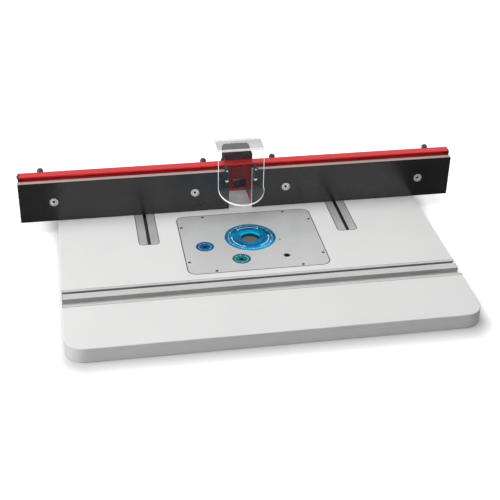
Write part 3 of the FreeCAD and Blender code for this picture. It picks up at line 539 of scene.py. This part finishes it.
# Painted shade for the fence bar's front wall.
RED_SHADE_PAINT = metal("red_shade_paint", (0.20, 0.003, 0.005), (0.28, 0.006, 0.008), 0.5, ALONG_X, shine=0.4)
SLOT_OF = {p["node"]: p["material_slot"] for p in frame["record"]["subparts"]}


# ---------------------------------------------------------------- mesh building blocks

WELD = 1e-6
TINY = 1e-6
ROUNDING = 1e-9


def shade(mesh, limit=math.radians(32)):
    """Smooth faces, with edges sharper than the limit kept crisp."""
    mesh.normal_update()
    for face in mesh.faces:
        face.smooth = True
    for edge in mesh.edges:
        edge.smooth = len(edge.link_faces) == 2 and edge.calc_face_angle(0.0) < limit


def piece(name, mesh, look, body, *nodes, slot=None, flat_faces=False):
    """Turns a bmesh into a finished piece that rides on a body and may stand for CAD nodes."""
    bmesh.ops.recalc_face_normals(mesh, faces=mesh.faces)
    shade(mesh)
    data = bpy.data.meshes.new(name)
    mesh.to_mesh(data)
    mesh.free()
    for each in look if isinstance(look, (list, tuple)) else [look]:
        data.materials.append(each)
    made = bpy.data.objects.new(name, data)
    bpy.context.scene.collection.objects.link(made)
    if flat_faces:
        weighted = made.modifiers.new("flat_faces", "WEIGHTED_NORMAL")
        weighted.weight = 100
        weighted.keep_sharp = True
    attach(made, body)
    if nodes:
        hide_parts(*nodes)
        slot = slot or SLOT_OF[nodes[0]]
    return made


def eased(points, radius, steps=3, closed=True):
    """An outline with every corner rounded. A point may carry its own radius as a third number."""
    count = len(points)
    made = []
    for i, point in enumerate(points):
        here = Vector(point[:2])
        wanted = point[2] if len(point) > 2 else radius
        if wanted == 0 or (not closed and i in (0, count - 1)):
            made.append(tuple(here))
            continue
        before = Vector(points[i - 1][:2]) - here
        after = Vector(points[(i + 1) % count][:2]) - here
        reach = min(wanted, 0.45 * before.length, 0.45 * after.length)
        start, end = here + before.normalized() * reach, here + after.normalized() * reach
        for k in range(steps + 1):
            t = k / steps
            made.append(tuple((1 - t) ** 2 * start + 2 * t * (1 - t) * here + t * t * end))
    return made


def revolved(profile, steps=96, closed=True, reshape=None):
    """A bmesh turned about Z from (radius, height) points. reshape may alter them by angle."""
    mesh = bmesh.new()
    columns = []
    for i in range(steps):
        angle = 2 * math.pi * i / steps
        column = []
        for r, h in profile:
            if reshape:
                r, h = reshape(r, h, angle)
            column.append(mesh.verts.new((r * math.cos(angle), r * math.sin(angle), h)))
        columns.append(column)
    count = len(profile)
    for i in range(steps):
        here, beyond = columns[i], columns[(i + 1) % steps]
        for j in range(count if closed else count - 1):
            k = (j + 1) % count
            mesh.faces.new((here[j], beyond[j], beyond[k], here[k]))
    bmesh.ops.remove_doubles(mesh, verts=mesh.verts, dist=0.1 * WELD)
    return mesh


def moved(mesh, place, turn=None):
    matrix = Matrix.Translation(place)
    if turn is not None:
        matrix = matrix @ turn.to_4x4()
    bmesh.ops.transform(mesh, matrix=matrix, verts=mesh.verts)
    return mesh


def merged(*meshes):
    """One bmesh out of several."""
    whole = bmesh.new()
    for mesh in meshes:
        holder = bpy.data.meshes.new("holder")
        mesh.to_mesh(holder)
        mesh.free()
        whole.from_mesh(holder)
        bpy.data.meshes.remove(holder)
    return whole


def ripple(count, angle):
    """Waves between 0 and 1 round a turned shape."""
    return 0.5 + 0.5 * math.cos(count * angle)


def hexed(r, limit, angle):
    """Gives six flats to the part of a turned shape that lies within a limit."""
    if r >= limit:
        return r
    return r / math.cos(angle % (math.pi / 3) - math.pi / 6)


def mark(points, low, high):
    """A thin flat bar between two heights, from its outline."""
    mesh = bmesh.new()
    under = [mesh.verts.new((x, y, low)) for x, y in points]
    over = [mesh.verts.new((x, y, high)) for x, y in points]
    mesh.faces.new(over)
    mesh.faces.new(under[::-1])
    count = len(points)
    for i in range(count):
        k = (i + 1) % count
        mesh.faces.new((under[i], under[k], over[k], over[i]))
    return mesh


def arc_mark(inner, outer, start, end, low, high, steps=6):
    """A mark that follows a circle about Z between two angles in degrees."""
    turns = [math.radians(start + (end - start) * k / steps) for k in range(steps + 1)]
    outline = [(outer * math.cos(a), outer * math.sin(a)) for a in turns]
    outline += [(inner * math.cos(a), inner * math.sin(a)) for a in reversed(turns)]
    return mark(outline, low, high)


# ---------------------------------------------------------------- insert ring and dials

LUG_HALF = math.radians(15)
LUG_TURNS = (90, 210, 330)
MARK_SINK = -0.05 * MM


def groove(edge, width, deep, side=0.3 * MM):
    """Points of a groove turned into a face at height 0, from its outer edge inwards."""
    return [(edge, 0), (edge - side, -deep), (edge - width + side, -deep), (edge - width, 0)]


def graduations(count, every, outer, lengths, halves, proud):
    """Short marks round a disc, with a longer one at every so many.

    The lengths, and the half widths in degrees, are those of a long and of a short mark."""
    marks = []
    for i in range(count):
        which = 0 if i % every == 0 else 1
        inner, half, angle = outer - lengths[which], halves[which], 360 / count * i
        marks.append(arc_mark(inner, outer, angle - half, angle + half, MARK_SINK, proud, 2))
    return marks


def twist_arrow(middle, radius, proud):
    """A double-headed arrow along a circle about Z, round a middle angle in degrees."""
    half_width, head, reach, tip = 0.6 * MM, 1.9 * MM, 32, 37
    inner, outer = radius - half_width, radius + half_width
    parts = [arc_mark(inner, outer, middle - reach, middle + reach, MARK_SINK, proud, 20)]
    for side in (-1, 1):
        point, back = math.radians(middle + tip * side), math.radians(middle + reach * side)
        corners = [(radius, point), (radius + head, back), (radius - head, back)]
        parts.append(mark([(r * math.cos(a), r * math.sin(a)) for r, a in corners], MARK_SINK, proud))
    return parts


def make_ring():
    """Twist-lock ring: a stepped, turned disc with three lugs under its flange."""
    low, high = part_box("insert_ring")
    place = Vector((RING_AXIS.x, RING_AXIS.y, high.z))
    flange = (high.x - low.x) / 2
    bore = mount("ring_bore")["dims"]["r_mm"] * MM
    boss, lug, funnel = flange - 3.5 * MM, flange - 0.3 * MM, bore + 4.6 * MM
    deep = low.z - high.z
    step, lug_top = -4.0 * MM, deep + 2.7 * MM
    bevel, funnel_deep = 0.7 * MM, 2.2 * MM
    outline = [
        (bore, deep), (boss, deep), (boss, lug_top), (boss + 0.01 * MM, step), (flange, step),
        (flange, -bevel), (flange - bevel, 0),
        *groove(flange - 2.6 * MM, 1.3 * MM, 0.35 * MM),
        *groove(funnel + 3.4 * MM, 1.2 * MM, 0.3 * MM),
        (funnel, 0), (funnel - funnel_deep, -funnel_deep), (bore, -funnel_deep),
    ]

    def with_lugs(r, h, angle):
        turns = [angle - math.radians(turn) for turn in LUG_TURNS]
        away = min(abs((turn + math.pi) % (2 * math.pi) - math.pi) for turn in turns)
        if away < LUG_HALF and h < lug_top + TINY and r > boss - 0.1 * MM:
            return lug, h
        return r, h

    mesh = revolved(eased(outline, 0.18 * MM, 2), 240, True, with_lugs)
    piece("insert_ring_turned", moved(mesh, place), LOOKS["blue_anodised"], "ring", "insert_ring")

    proud = 0.06 * MM
    marks = graduations(72, 6, flange - 6.4 * MM, (3.2 * MM, 1.8 * MM), (0.9, 0.5), proud)
    for middle in LUG_TURNS:
        marks += twist_arrow(middle, flange - 14.8 * MM, proud)
    piece("ring_graduations", moved(merged(*marks), place), WHITE_MARKS_AND_HIGHLIGHT, "ring", slot="blue_anodised")


def make_dial(side, dark, light):
    """Graduated adjuster disc with a knurled rim and a hex key socket."""
    node = f"{side}_dial"
    low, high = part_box(node)
    centre = Vector(((low.x + high.x) / 2, (low.y + high.y) / 2, high.z))
    radius, deep = (high.x - low.x) / 2, low.z - high.z
    boss, under, socket = 12.0 * MM, -2.4 * MM, 4.0 * MM
    clip_seat, clip_low, clip_high = boss - 1.2 * MM, deep + 1.0 * MM, deep + 2.1 * MM
    bevel, dish, hub = 0.5 * MM, -0.9 * MM, -0.5 * MM
    knurls, knurl_deep = 60, 0.22 * MM
    outline = [
        (socket, deep), (boss, deep), (boss, clip_low), (clip_seat, clip_low),
        (clip_seat, clip_high), (boss, clip_high), (boss, under), (radius, under),
        (radius, -bevel), (radius - bevel, 0),
        *groove(radius - 2.6 * MM, 1.3 * MM, 0.3 * MM, 0.4 * MM),
        (9.6 * MM, 0), (8.6 * MM, dish), (6.2 * MM, dish), (5.4 * MM, hub),
        (socket + 0.6 * MM, hub), (socket, -1.1 * MM),
    ]

    def shaped(r, h, angle):
        if r > radius - 0.25 * MM and h > under + 0.2 * MM:
            return r - knurl_deep * ripple(knurls, angle), h
        return hexed(r, 1.2 * socket, angle), h

    look = turned_metal(f"{side}_dial_anodised", dark, light, centre, 0.28)
    mesh = revolved(eased(outline, 0.15 * MM, 2), 240, True, shaped)
    piece(f"{side}_dial_turned", moved(mesh, centre), look, node, node)
    marks = graduations(24, 3, radius - 4.6 * MM, (3.0 * MM, 1.8 * MM), (1.7, 1.1), 0.05 * MM)
    piece(f"{side}_dial_graduations", moved(merged(*marks), centre), WHITE_MARKS_AND_HIGHLIGHT, node, slot="blue_anodised")


# ---------------------------------------------------------------- clear guard

GUARD_SHEET = 4.5 * MM
GUARD_FLANGE = 56.4 * MM
GUARD_DROOP = math.radians(16)
GUARD_BEND = 4.75 * MM
GUARD_BEND_STEPS = 10
GUARD_ARC_STEPS = 64
GUARD_SLOT = 3.1 * MM
GUARD_SLOT_RUN = 12.8 * MM
GUARD_SLOT_DROP = 12.2 * MM
GUARD_SLOT_STEPS = 12
GUARD_EDGE = 0.55 * MM
GUARD_SCREW_HEAD = 4.9 * MM
CLEAR_FACE, BRIGHT_EDGE, SLOT_WALL, BEND_LINE = range(4)


def guard_path(low, high):
    """The sheet's middle line in the YZ plane, from the flange's rear edge to the visor's tip.

    Returns stations (along, y, z, heading) and the lengths where the two bends start and end."""
    half = GUARD_SHEET / 2
    lower_turn = math.pi / 2 - GUARD_DROOP
    visor = (high.y - GUARD_FLANGE - low.y) / math.cos(GUARD_DROOP)
    knee = low.z + visor * math.sin(GUARD_DROOP) + GUARD_SHEET * math.cos(GUARD_DROOP)
    drop_end = knee + GUARD_BEND * math.tan(lower_turn / 2)
    runs = [
        ("line", GUARD_FLANGE - half - GUARD_BEND),
        ("turn", math.pi / 2),
        ("line", high.z - half - GUARD_BEND - drop_end),
        ("turn", -lower_turn),
        ("to_tip", None),
    ]
    along, y, z, heading = 0.0, high.y, high.z - half, math.pi
    stations, bends = [(along, y, z, heading)], []
    for kind, amount in runs:
        if kind == "turn":
            bends.append(along)
            turn = amount / GUARD_BEND_STEPS
            chord = 2 * GUARD_BEND * math.sin(abs(turn) / 2)
            for _ in range(GUARD_BEND_STEPS):
                heading += turn / 2
                y += chord * math.cos(heading)
                z += chord * math.sin(heading)
                heading += turn / 2
                along += abs(turn) * GUARD_BEND
                stations.append((along, y, z, heading))
            bends.append(along)
            continue
        if kind == "to_tip":
            amount = (y - low.y - half * math.sin(GUARD_DROOP)) / math.cos(GUARD_DROOP)
        y += amount * math.cos(heading)
        z += amount * math.sin(heading)
        along += amount
        stations.append((along, y, z, heading))
    return stations, bends


class GuardSheet:
    """The guard as a flat sheet with two slots and a round end, and the path that it is bent along.

    A place in it is measured across (u), along (v) and through the sheet (w)."""

    def __init__(self):
        low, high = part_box("guard_shield")
        screws_low, screws_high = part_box("guard_screws")
        self.stations, self.bends = guard_path(low, high)
        self.half_width = (high.x - low.x) / 2
        self.centre = self.stations[-1][0] - self.half_width
        self.rows = sorted({round(s[0], 9) for s in self.stations[1:-1]})
        self.drop_start, self.drop_end = self.bends[1], self.bends[2]
        self.slot_x = screws_high.x - GUARD_SCREW_HEAD
        drop_top = next(s for s in self.stations if abs(s[0] - self.drop_start) < TINY)[2]
        slot_height = (screws_low.z + screws_high.z) / 2 - GUARD_SLOT_DROP
        self.slot_middle = self.drop_start + drop_top - slot_height

    def bent(self, u, v, w):
        """Where a point of the flat sheet comes to lie."""
        last = len(self.stations) - 1
        k = next((i for i in range(1, last + 1) if v <= self.stations[i][0] + ROUNDING), last)
        a, b = self.stations[k - 1], self.stations[k]
        t = (v - a[0]) / max(b[0] - a[0], ROUNDING)
        y, z, heading = (a[n] + (b[n] - a[n]) * t for n in (1, 2, 3))
        return Vector((u, y + w * math.sin(heading), z - w * math.cos(heading)))

    def outer_loop(self, inset):
        half = self.half_width - inset
        rows = [(half, row) for row in self.rows if row < self.centre]
        side = [(half, inset), *rows, (half, self.centre)]
        turns = [math.pi * k / GUARD_ARC_STEPS for k in range(1, GUARD_ARC_STEPS)]
        arc = [(half * math.cos(a), self.centre + half * math.sin(a)) for a in turns]
        return side + arc + [(-u, v) for u, v in reversed(side)]

    def slot_loop(self, x, inset):
        radius = GUARD_SLOT + inset
        loop = []
        for end, start in ((1, 0.0), (-1, math.pi)):
            middle = self.slot_middle + end * GUARD_SLOT_RUN
            for k in range(GUARD_SLOT_STEPS + 1):
                a = start + math.pi * k / GUARD_SLOT_STEPS
                loop.append((x + radius * math.cos(a), middle + radius * math.sin(a)))
        return loop

    def wall_look(self, is_slot, v):
        """Painted highlight, white and glowing, round the drop and the visor, and at the slots' feet."""
        if is_slot:
            return BRIGHT_EDGE if v > self.slot_middle + GUARD_SLOT_RUN + TINY else SLOT_WALL
        return BRIGHT_EDGE if v > self.drop_start - TINY else CLEAR_FACE

    def add_walls(self, mesh):
        """The outer edge and the slots' walls, eased where they meet the broad faces."""
        half, wall = GUARD_SHEET / 2, GUARD_SHEET / 2 - GUARD_EDGE
        levels = ((GUARD_EDGE, half), (0.0, wall), (0.0, -wall), (GUARD_EDGE, -half))
        for slot_x in (None, -self.slot_x, self.slot_x):
            is_slot = slot_x is not None
            outline = partial(self.slot_loop, slot_x) if is_slot else self.outer_loop
            rings = [[mesh.verts.new(self.bent(u, v, w)) for u, v in outline(inset)] for inset, w in levels]
            lengths = [v for u, v in outline(0.0)]
            for over, under in zip(rings, rings[1:]):
                for i, v in enumerate(lengths):
                    k = (i + 1) % len(over)
                    face = mesh.faces.new((over[i], under[i], under[k], over[k]))
                    face.material_index = self.wall_look(is_slot, v)

    def add_face(self, mesh, points, w):
        made = mesh.faces.new([mesh.verts.new(self.bent(u, v, w)) for u, v in points])
        bend_start, bend_end = self.bends[:2]
        middle = sum(v for u, v in points) / len(points)
        # The middle half of the first bend gets the painted highlight.
        if abs(middle - (bend_start + bend_end) / 2) < 0.25 * (bend_end - bend_start):
            made.material_index = BEND_LINE

    def add_drop(self, mesh, w):
        """One broad side of the upright stretch, in three faces that meet at the slots' middles."""
        edge, x = self.half_width - GUARD_EDGE, self.slot_x
        start, end = self.drop_start, self.drop_end

        def half_slot(place, side, down):
            """One side of a slot's outline, in the order in which its face runs along the sheet."""
            lobe = [p for p in self.slot_loop(place, GUARD_EDGE) if side * (p[0] - place) >= -ROUNDING]
            return sorted(lobe, key=lambda p: p[1] if down else -p[1])

        left = [(-edge, start), (-x, start), *half_slot(-x, -1, True), (-x, end), (-edge, end)]
        inner = [(-x, end), *half_slot(-x, 1, False), (-x, start)]
        inner += [(x, start), *half_slot(x, -1, True), (x, end)]
        right = [(x, end), *half_slot(x, 1, False), (x, start), (edge, start), (edge, end)]
        for points in (left, inner, right):
            self.add_face(mesh, points, w)

    def add_broad_side(self, mesh, w):
        edge = self.half_width - GUARD_EDGE
        knots = [-edge, -self.slot_x, self.slot_x, edge]
        previous = GUARD_EDGE
        for row in [r for r in self.rows if r < self.centre]:
            if abs(previous - self.drop_start) > TINY or abs(row - self.drop_end) > TINY:
                for a, b in zip(knots, knots[1:]):
                    self.add_face(mesh, [(a, previous), (b, previous), (b, row), (a, row)], w)
            previous = row
        arc = [p for p in self.outer_loop(GUARD_EDGE) if p[1] >= self.centre - ROUNDING]
        corners = [(self.slot_x, previous), (edge, previous)]
        self.add_face(mesh, corners + arc + [(-edge, previous), (-self.slot_x, previous)], w)
        self.add_drop(mesh, w)


def make_guard():
    """The clear bent guard, with a flange, an upright drop and a drooping round visor."""
    sheet = GuardSheet()
    mesh = bmesh.new()
    sheet.add_walls(mesh)
    for w in (GUARD_SHEET / 2, -GUARD_SHEET / 2):
        sheet.add_broad_side(mesh, w)
    bmesh.ops.remove_doubles(mesh, verts=mesh.verts, dist=2 * WELD)
    bmesh.ops.dissolve_degenerate(mesh, dist=0.1 * WELD, edges=mesh.edges)
    looks = [LOOKS["clear_sheet"], CLEAR_EDGE, CLEAR_WALL, CLEAR_BEND]
    piece("guard_bent_sheet", mesh, looks, "guard", "guard_shield")


# ---------------------------------------------------------------- knobs and levers

def make_knob(side):
    """Five-lobed clamp knob with a dished top."""
    node = f"{side}_clamp_knob"
    low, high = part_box(node)
    axis = axis_of(f"{side}_knob_turn")
    height = high.z - low.z
    bore, collar, waist, reach = 6.05 * MM, 13.5 * MM, 18.6 * MM, 25.0 * MM
    dish, insert_top = height - 2.2 * MM, height - 4.5 * MM
    lobes, lobe_turn, lobe_fullness = 5, math.radians(18), 0.65
    outline = [
        (bore, 0), (13 * MM, 0), (14 * MM, 4 * MM), (reach - 1.5 * MM, 5 * MM), (reach, 8 * MM),
        (reach, height - 5 * MM), (reach - 3 * MM, height - 1.2 * MM), (reach - 9 * MM, height, 2 * MM),
        (9.0 * MM, height - 0.3 * MM), (7.6 * MM, dish), (0, dish, 0),
        (0, insert_top, 0), (bore, insert_top),
    ]

    def lobed(r, h, angle):
        if r < collar:
            return r, h
        full = waist + (reach - waist) * ripple(lobes, angle - lobe_turn) ** lobe_fullness
        share = (r - collar) / (reach - collar)
        return collar + share * (full - collar), h

    mesh = revolved(eased(outline, 1.4 * MM, 5), 160, True, lobed)
    place = Vector((axis.x, axis.y, low.z))
    piece(f"{side}_star_knob", moved(mesh, place), LOOKS["black_plastic"], f"{side}_knob", node)


TO_REAR = Matrix.Rotation(math.radians(-90), 4, "X")
LEVER_BALL = 6.8 * MM
LEVER_NECK = 4.3 * MM
LEVER_RIBS = 24


def lever_hub():
    """Ribbed hub with a blind bore, upright on Z."""
    bore, radius, height = 7.55 * MM, 11 * MM, 23.3 * MM
    bore_end = 16.9 * MM
    outline = [
        (bore, 0), (9.8 * MM, 0), (radius, 1.2 * MM), (radius, 20 * MM), (9 * MM, height - 0.2 * MM),
        (3 * MM, height, 1 * MM), (0, height, 0), (0, bore_end, 0), (bore, bore_end),
    ]

    def ribbed(r, h, angle):
        if r > 10.2 * MM and 3 * MM < h < 13 * MM:
            return r - 0.35 * MM * ripple(LEVER_RIBS, angle), h
        return r, h

    return revolved(eased(outline, 0.9 * MM, 4), 144, True, ribbed)


def lever_arm(length):
    """Waisted arm along Z that ends in a ball."""
    outline = [
        (0, 0, 0), (7.2 * MM, 0, 0), (6.6 * MM, 0.16 * length),
        (4.9 * MM, 0.55 * length), (LEVER_NECK, length - 8.2 * MM),
    ]
    arm = eased(outline, 5 * MM, 5, closed=False)[:-1]
    blend_turn = 0.18
    ball_turn = math.pi - math.acos(LEVER_NECK / LEVER_BALL) + blend_turn
    steps = 16
    for k in range(steps + 1):
        a = ball_turn * (1 - k / steps)
        arm.append((LEVER_BALL * math.sin(a), length + LEVER_BALL * math.cos(a)))
    return revolved(arm, 48, closed=False)


def make_lever(side, which):
    """Clamp lever: a hub on the face bolt and an arm that reaches up beside it."""
    node = f"{side}_{which}_lever"
    low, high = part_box(node)
    axis = axis_of(f"{node}_turn")
    outward = 1 if (low.x + high.x) / 2 > axis.x else -1
    tip_x = high.x if outward > 0 else low.x
    end = Vector((tip_x - outward * LEVER_BALL, high.y - LEVER_BALL, high.z - LEVER_BALL))
    start = Vector((axis.x, low.y + 14 * MM, axis.z))
    span = end - start
    hub = moved(lever_hub(), Vector((axis.x, low.y, axis.z)), TO_REAR)
    arm = moved(lever_arm(span.length), start, span.to_track_quat("Z", "Y").to_matrix())
    piece(f"{node}_handle", merged(hub, arm), GLOSS_BLACK, node, node)


# ---------------------------------------------------------------- fence

def softened(node, ease, sharp=math.radians(25)):
    """A CAD node's own shape, with its sharp edges eased so that they catch the light."""
    mesh = bmesh.new()
    mesh.from_mesh(NODES[node].data)
    bmesh.ops.remove_doubles(mesh, verts=mesh.verts, dist=WELD)
    bmesh.ops.dissolve_limit(mesh, angle_limit=math.radians(0.5), verts=mesh.verts, edges=mesh.edges)
    bmesh.ops.recalc_face_normals(mesh, faces=mesh.faces)
    edges = [e for e in mesh.edges if len(e.link_faces) == 2 and e.calc_face_angle(0.0) > sharp]
    bmesh.ops.bevel(
        mesh, geom=edges, offset=ease, offset_type="OFFSET", segments=2, profile=0.5,
        affect="EDGES", clamp_overlap=True, miter_outer="ARC",
    )
    return mesh


def make_subfence(side):
    """Face board: black facing on both broad sides over a pale core that shows at its edges."""
    node = f"{side}_subfence"
    mesh = softened(node, 0.45 * MM)
    mesh.normal_update()
    for face in mesh.faces:
        if abs(face.normal.y) < 0.5:
            # Upward faces of the core take the copy with painted shade and reflection.
            face.material_index = 2 if face.normal.z > 0.5 else 1
    looks = [LOOKS["black_facing"], PALE_END, CORE_TOP_SHADE_AND_REFLECTION]
    piece(f"{side}_face_board", mesh, looks, f"{side}_face", node, flat_faces=True)


def face_bolt(length):
    """Flat-head bolt along Z with a dished head and a hex key socket; the socket and the dish's outer slope are
    painted dark as shade.
    """
    rim, shank, socket = 9.0 * MM, 4.76 * MM, 2.8 * MM
    socket_end, rim_thick, end_bevel = 3.2 * MM, 0.6 * MM, 0.8 * MM
    groove_inner, groove_outer = 6.2 * MM, 7.0 * MM
    outline = [
        (0, socket_end, 0), (socket, socket_end, 0), (socket, 1.5 * MM), (socket + 0.5 * MM, 1.1 * MM),
        (groove_inner, 0.75 * MM), (groove_outer, 0),
        (rim - 0.3 * MM, 0), (rim, 0.3 * MM), (rim, rim_thick),
        (shank, rim - shank + rim_thick), (shank, length - end_bevel),
        (shank - end_bevel, length), (0, length, 0),
    ]

    def keyed(r, h, angle):
        return hexed(r, 1.1 * socket, angle), h

    bolt = revolved(eased(outline, 0.2 * MM, 2), 72, True, keyed)
    for face in bolt.faces:
        at = face.calc_center_median()
        away = math.hypot(at.x, at.y)
        in_socket = away < socket + 0.4 * MM
        in_groove = groove_inner - 0.1 * MM < away < groove_outer + 0.05 * MM
        # Faces down in the socket and in the groove of the dish take the painted shade.
        face.material_index = int(at.z < socket_end + 0.1 * MM and (in_socket or in_groove))
    return bolt


def make_face_bolts(side):
    node = f"{side}_face_bolts"
    low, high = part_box(node)
    bolts = []
    for which in ("inner", "outer"):
        axis = axis_of(f"{side}_{which}_lever_turn")
        bolts.append(moved(face_bolt(high.y - low.y), (axis.x, low.y, axis.z), TO_REAR))
    looks = [LOOKS["zinc_steel"], DARK_METAL_AND_SHADE_PAINT]
    piece(f"{side}_flat_head_bolts", merged(*bolts), looks, f"{side}_face", node)


def make_softened(name, node, body, ease):
    piece(name, softened(node, ease), LOOKS[SLOT_OF[node]], body, node, flat_faces=True)


def make_fence_bar():
    """The fence's bar, with painted shade on its front wall below the guard screws' height, where the face boards
    rub along it.
    """
    mesh = softened("fence_extrusion", 0.3 * MM)
    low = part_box("fence_extrusion")[0]
    slot_height = (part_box("guard_screws")[0].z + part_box("guard_screws")[1].z) / 2
    mesh.normal_update()
    for face in mesh.faces:
        at = face.calc_center_median()
        shaded_wall = face.normal.y < -0.3 and at.y < low.y + 1.0 * MM and at.z < slot_height
        face.material_index = int(shaded_wall)
    looks = [LOOKS["red_anodised"], RED_SHADE_PAINT]
    piece("fence_bar", mesh, looks, "fence", "fence_extrusion", flat_faces=True)


def make_guard_screw_highlights():
    """White hexagons in the middle of the guard's two black screw heads: a painted highlight, shaped as the key
    recess.
    """
    low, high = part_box("guard_screws")
    radius, sink, proud = 2.0 * MM, -0.3 * MM, 0.05 * MM
    to_front = Matrix.Rotation(math.radians(90), 4, "X")
    corners = [math.radians(60 * k) for k in range(6)]
    glints = []
    for x in (low.x + GUARD_SCREW_HEAD, high.x - GUARD_SCREW_HEAD):
        hexagon = mark([(radius * math.cos(a), radius * math.sin(a)) for a in corners], sink, proud)
        glints.append(moved(hexagon, (x, low.y, (low.z + high.z) / 2), to_front))
    piece("guard_screw_highlights", merged(*glints), WHITE_MARKS_AND_HIGHLIGHT, "fence", slot="zinc_steel")


def make_port_beads():
    """Beads round the hood's hose port that grip the hose cuff."""
    port = mount("dust_port")
    radius, rear = port["dims"]["r_mm"] * MM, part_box("dust_hood")[1].y
    bead_high, bead_half, sink = 0.55 * MM, 1.5 * MM, 0.4 * MM
    foot_half, steps = bead_half + 0.1 * MM, 8
    rings = []
    for from_end in (3.5, 9.0, 14.5):
        middle = -from_end * MM
        outline = [(radius - sink, middle - foot_half), (radius - sink, middle + foot_half)]
        for k in range(steps + 1):
            a = math.pi * k / steps
            outline.append((radius - 0.1 * MM + bead_high * math.sin(a), middle + bead_half * math.cos(a)))
        rings.append(revolved(outline, 96))
    beads = moved(merged(*rings), (port["pos_m"][0], rear, port["pos_m"][2]), TO_REAR)
    piece("dust_port_beads", beads, LOOKS["black_plastic"], "fence", slot="black_plastic")


# ---------------------------------------------------------------- insert plate and tracks

def loose_parts(node):
    """The middle of each separate part of a CAD node, seen from above."""
    mesh = bmesh.new()
    mesh.from_mesh(NODES[node].data)
    bmesh.ops.remove_doubles(mesh, verts=mesh.verts, dist=WELD)
    waiting, middles = set(mesh.verts), []
    while waiting:
        part, edge_of_part = set(), [waiting.pop()]
        while edge_of_part:
            vert = edge_of_part.pop()
            part.add(vert)
            for edge in vert.link_edges:
                other = edge.other_vert(vert)
                if other in waiting:
                    waiting.remove(other)
                    edge_of_part.append(other)
        xs, ys = [v.co.x for v in part], [v.co.y for v in part]
        middles.append(((min(xs) + max(xs)) / 2, (min(ys) + max(ys)) / 2))
    mesh.free()
    return middles


def make_screw_shade_rings():
    """Dark rings round the plate's levelling screws: painted shade where the screws' holes meet the plate."""
    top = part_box("insert_plate")[1].z
    inner, outer, proud = 2.5 * MM, 3.3 * MM, 0.04 * MM
    profile = [(inner, -proud), (outer, -proud), (outer, proud), (inner, proud)]
    rings = [moved(revolved(profile, 32), (x, y, top)) for x, y in loose_parts("plate_levelling_screws")]
    piece("plate_screw_shade_rings", merged(*rings), DARK_METAL_AND_SHADE_PAINT, "table", slot="plate_aluminium")


def make_track(name, node, look, slot_shade_look, slot_from):
    """A track whose top runs beside a T-slot painted darker as shade, behind the given place along Y.

    The other upright walls down in the track get the same painted shade."""
    mesh = softened(node, 0.3 * MM)
    mesh.normal_update()
    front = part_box(node)[0].y
    for face in mesh.faces:
        at = face.calc_center_median()
        wall = face.normal.y < -0.5 and at.y > front + 1 * MM
        face.material_index = int(at.z < TOP - 1.2 * MM and (wall or at.y > slot_from))
    piece(name, mesh, [look, slot_shade_look], "table", node, flat_faces=True)


# ---------------------------------------------------------------- carried-over CAD nodes

DARK_NODES = {
    "guard_screws": GLOSS_BLACK,
    "plate_levelling_screws": DARK_METAL_AND_SHADE_PAINT,
    "starting_pin_bushing": DARK_METAL_AND_SHADE_PAINT,
    "ring_index_screw": DARK_METAL_AND_SHADE_PAINT,
}


def dress_cad_nodes():
    """Every CAD node that is shown as it is gets its slot's procedural material, or its own darker one."""
    for name, item in NODES.items():
        item.data.materials.clear()
        item.data.materials.append(DARK_NODES.get(name, LOOKS[SLOT_OF[name]]))


bpy.context.scene.view_settings.view_transform = "Standard"
make_camera()
make_world()
make_floor()
make_lights()
dress_cad_nodes()
make_ring()
make_dial("left", (0.002, 0.14, 0.36), (0.006, 0.26, 0.56))
make_dial("front", (0.004, 0.17, 0.23), (0.02, 0.32, 0.39))
make_guard()
for hand in ("left", "right"):
    make_knob(hand)
    make_lever(hand, "inner")
    make_lever(hand, "outer")
    make_subfence(hand)
    make_face_bolts(hand)
    track_look = track_metal(f"{hand}_track_along_y", ALONG_Y, (f"{hand}_fence_track", 9 * MM, 1.6 * MM))
    make_track(f"{hand}_track_bar", f"{hand}_fence_track", track_look, DEEP_SLOT_SHADE_PAINT, 0)
    make_softened(f"{hand}_fence_end_cap", f"{hand}_end_cap", "fence", 0.5 * MM)
tee_start = mount("table_tee_slot")["pos_m"][1] - 10 * MM
make_track("combination_track_bar", "combo_track", LOOKS["track_aluminium"], SLOT_SHADE_PAINT, tee_start)
make_fence_bar()
make_softened("dust_hood_shell", "dust_hood", "fence", 0.5 * MM)
make_port_beads()
make_guard_screw_highlights()
make_screw_shade_rings()
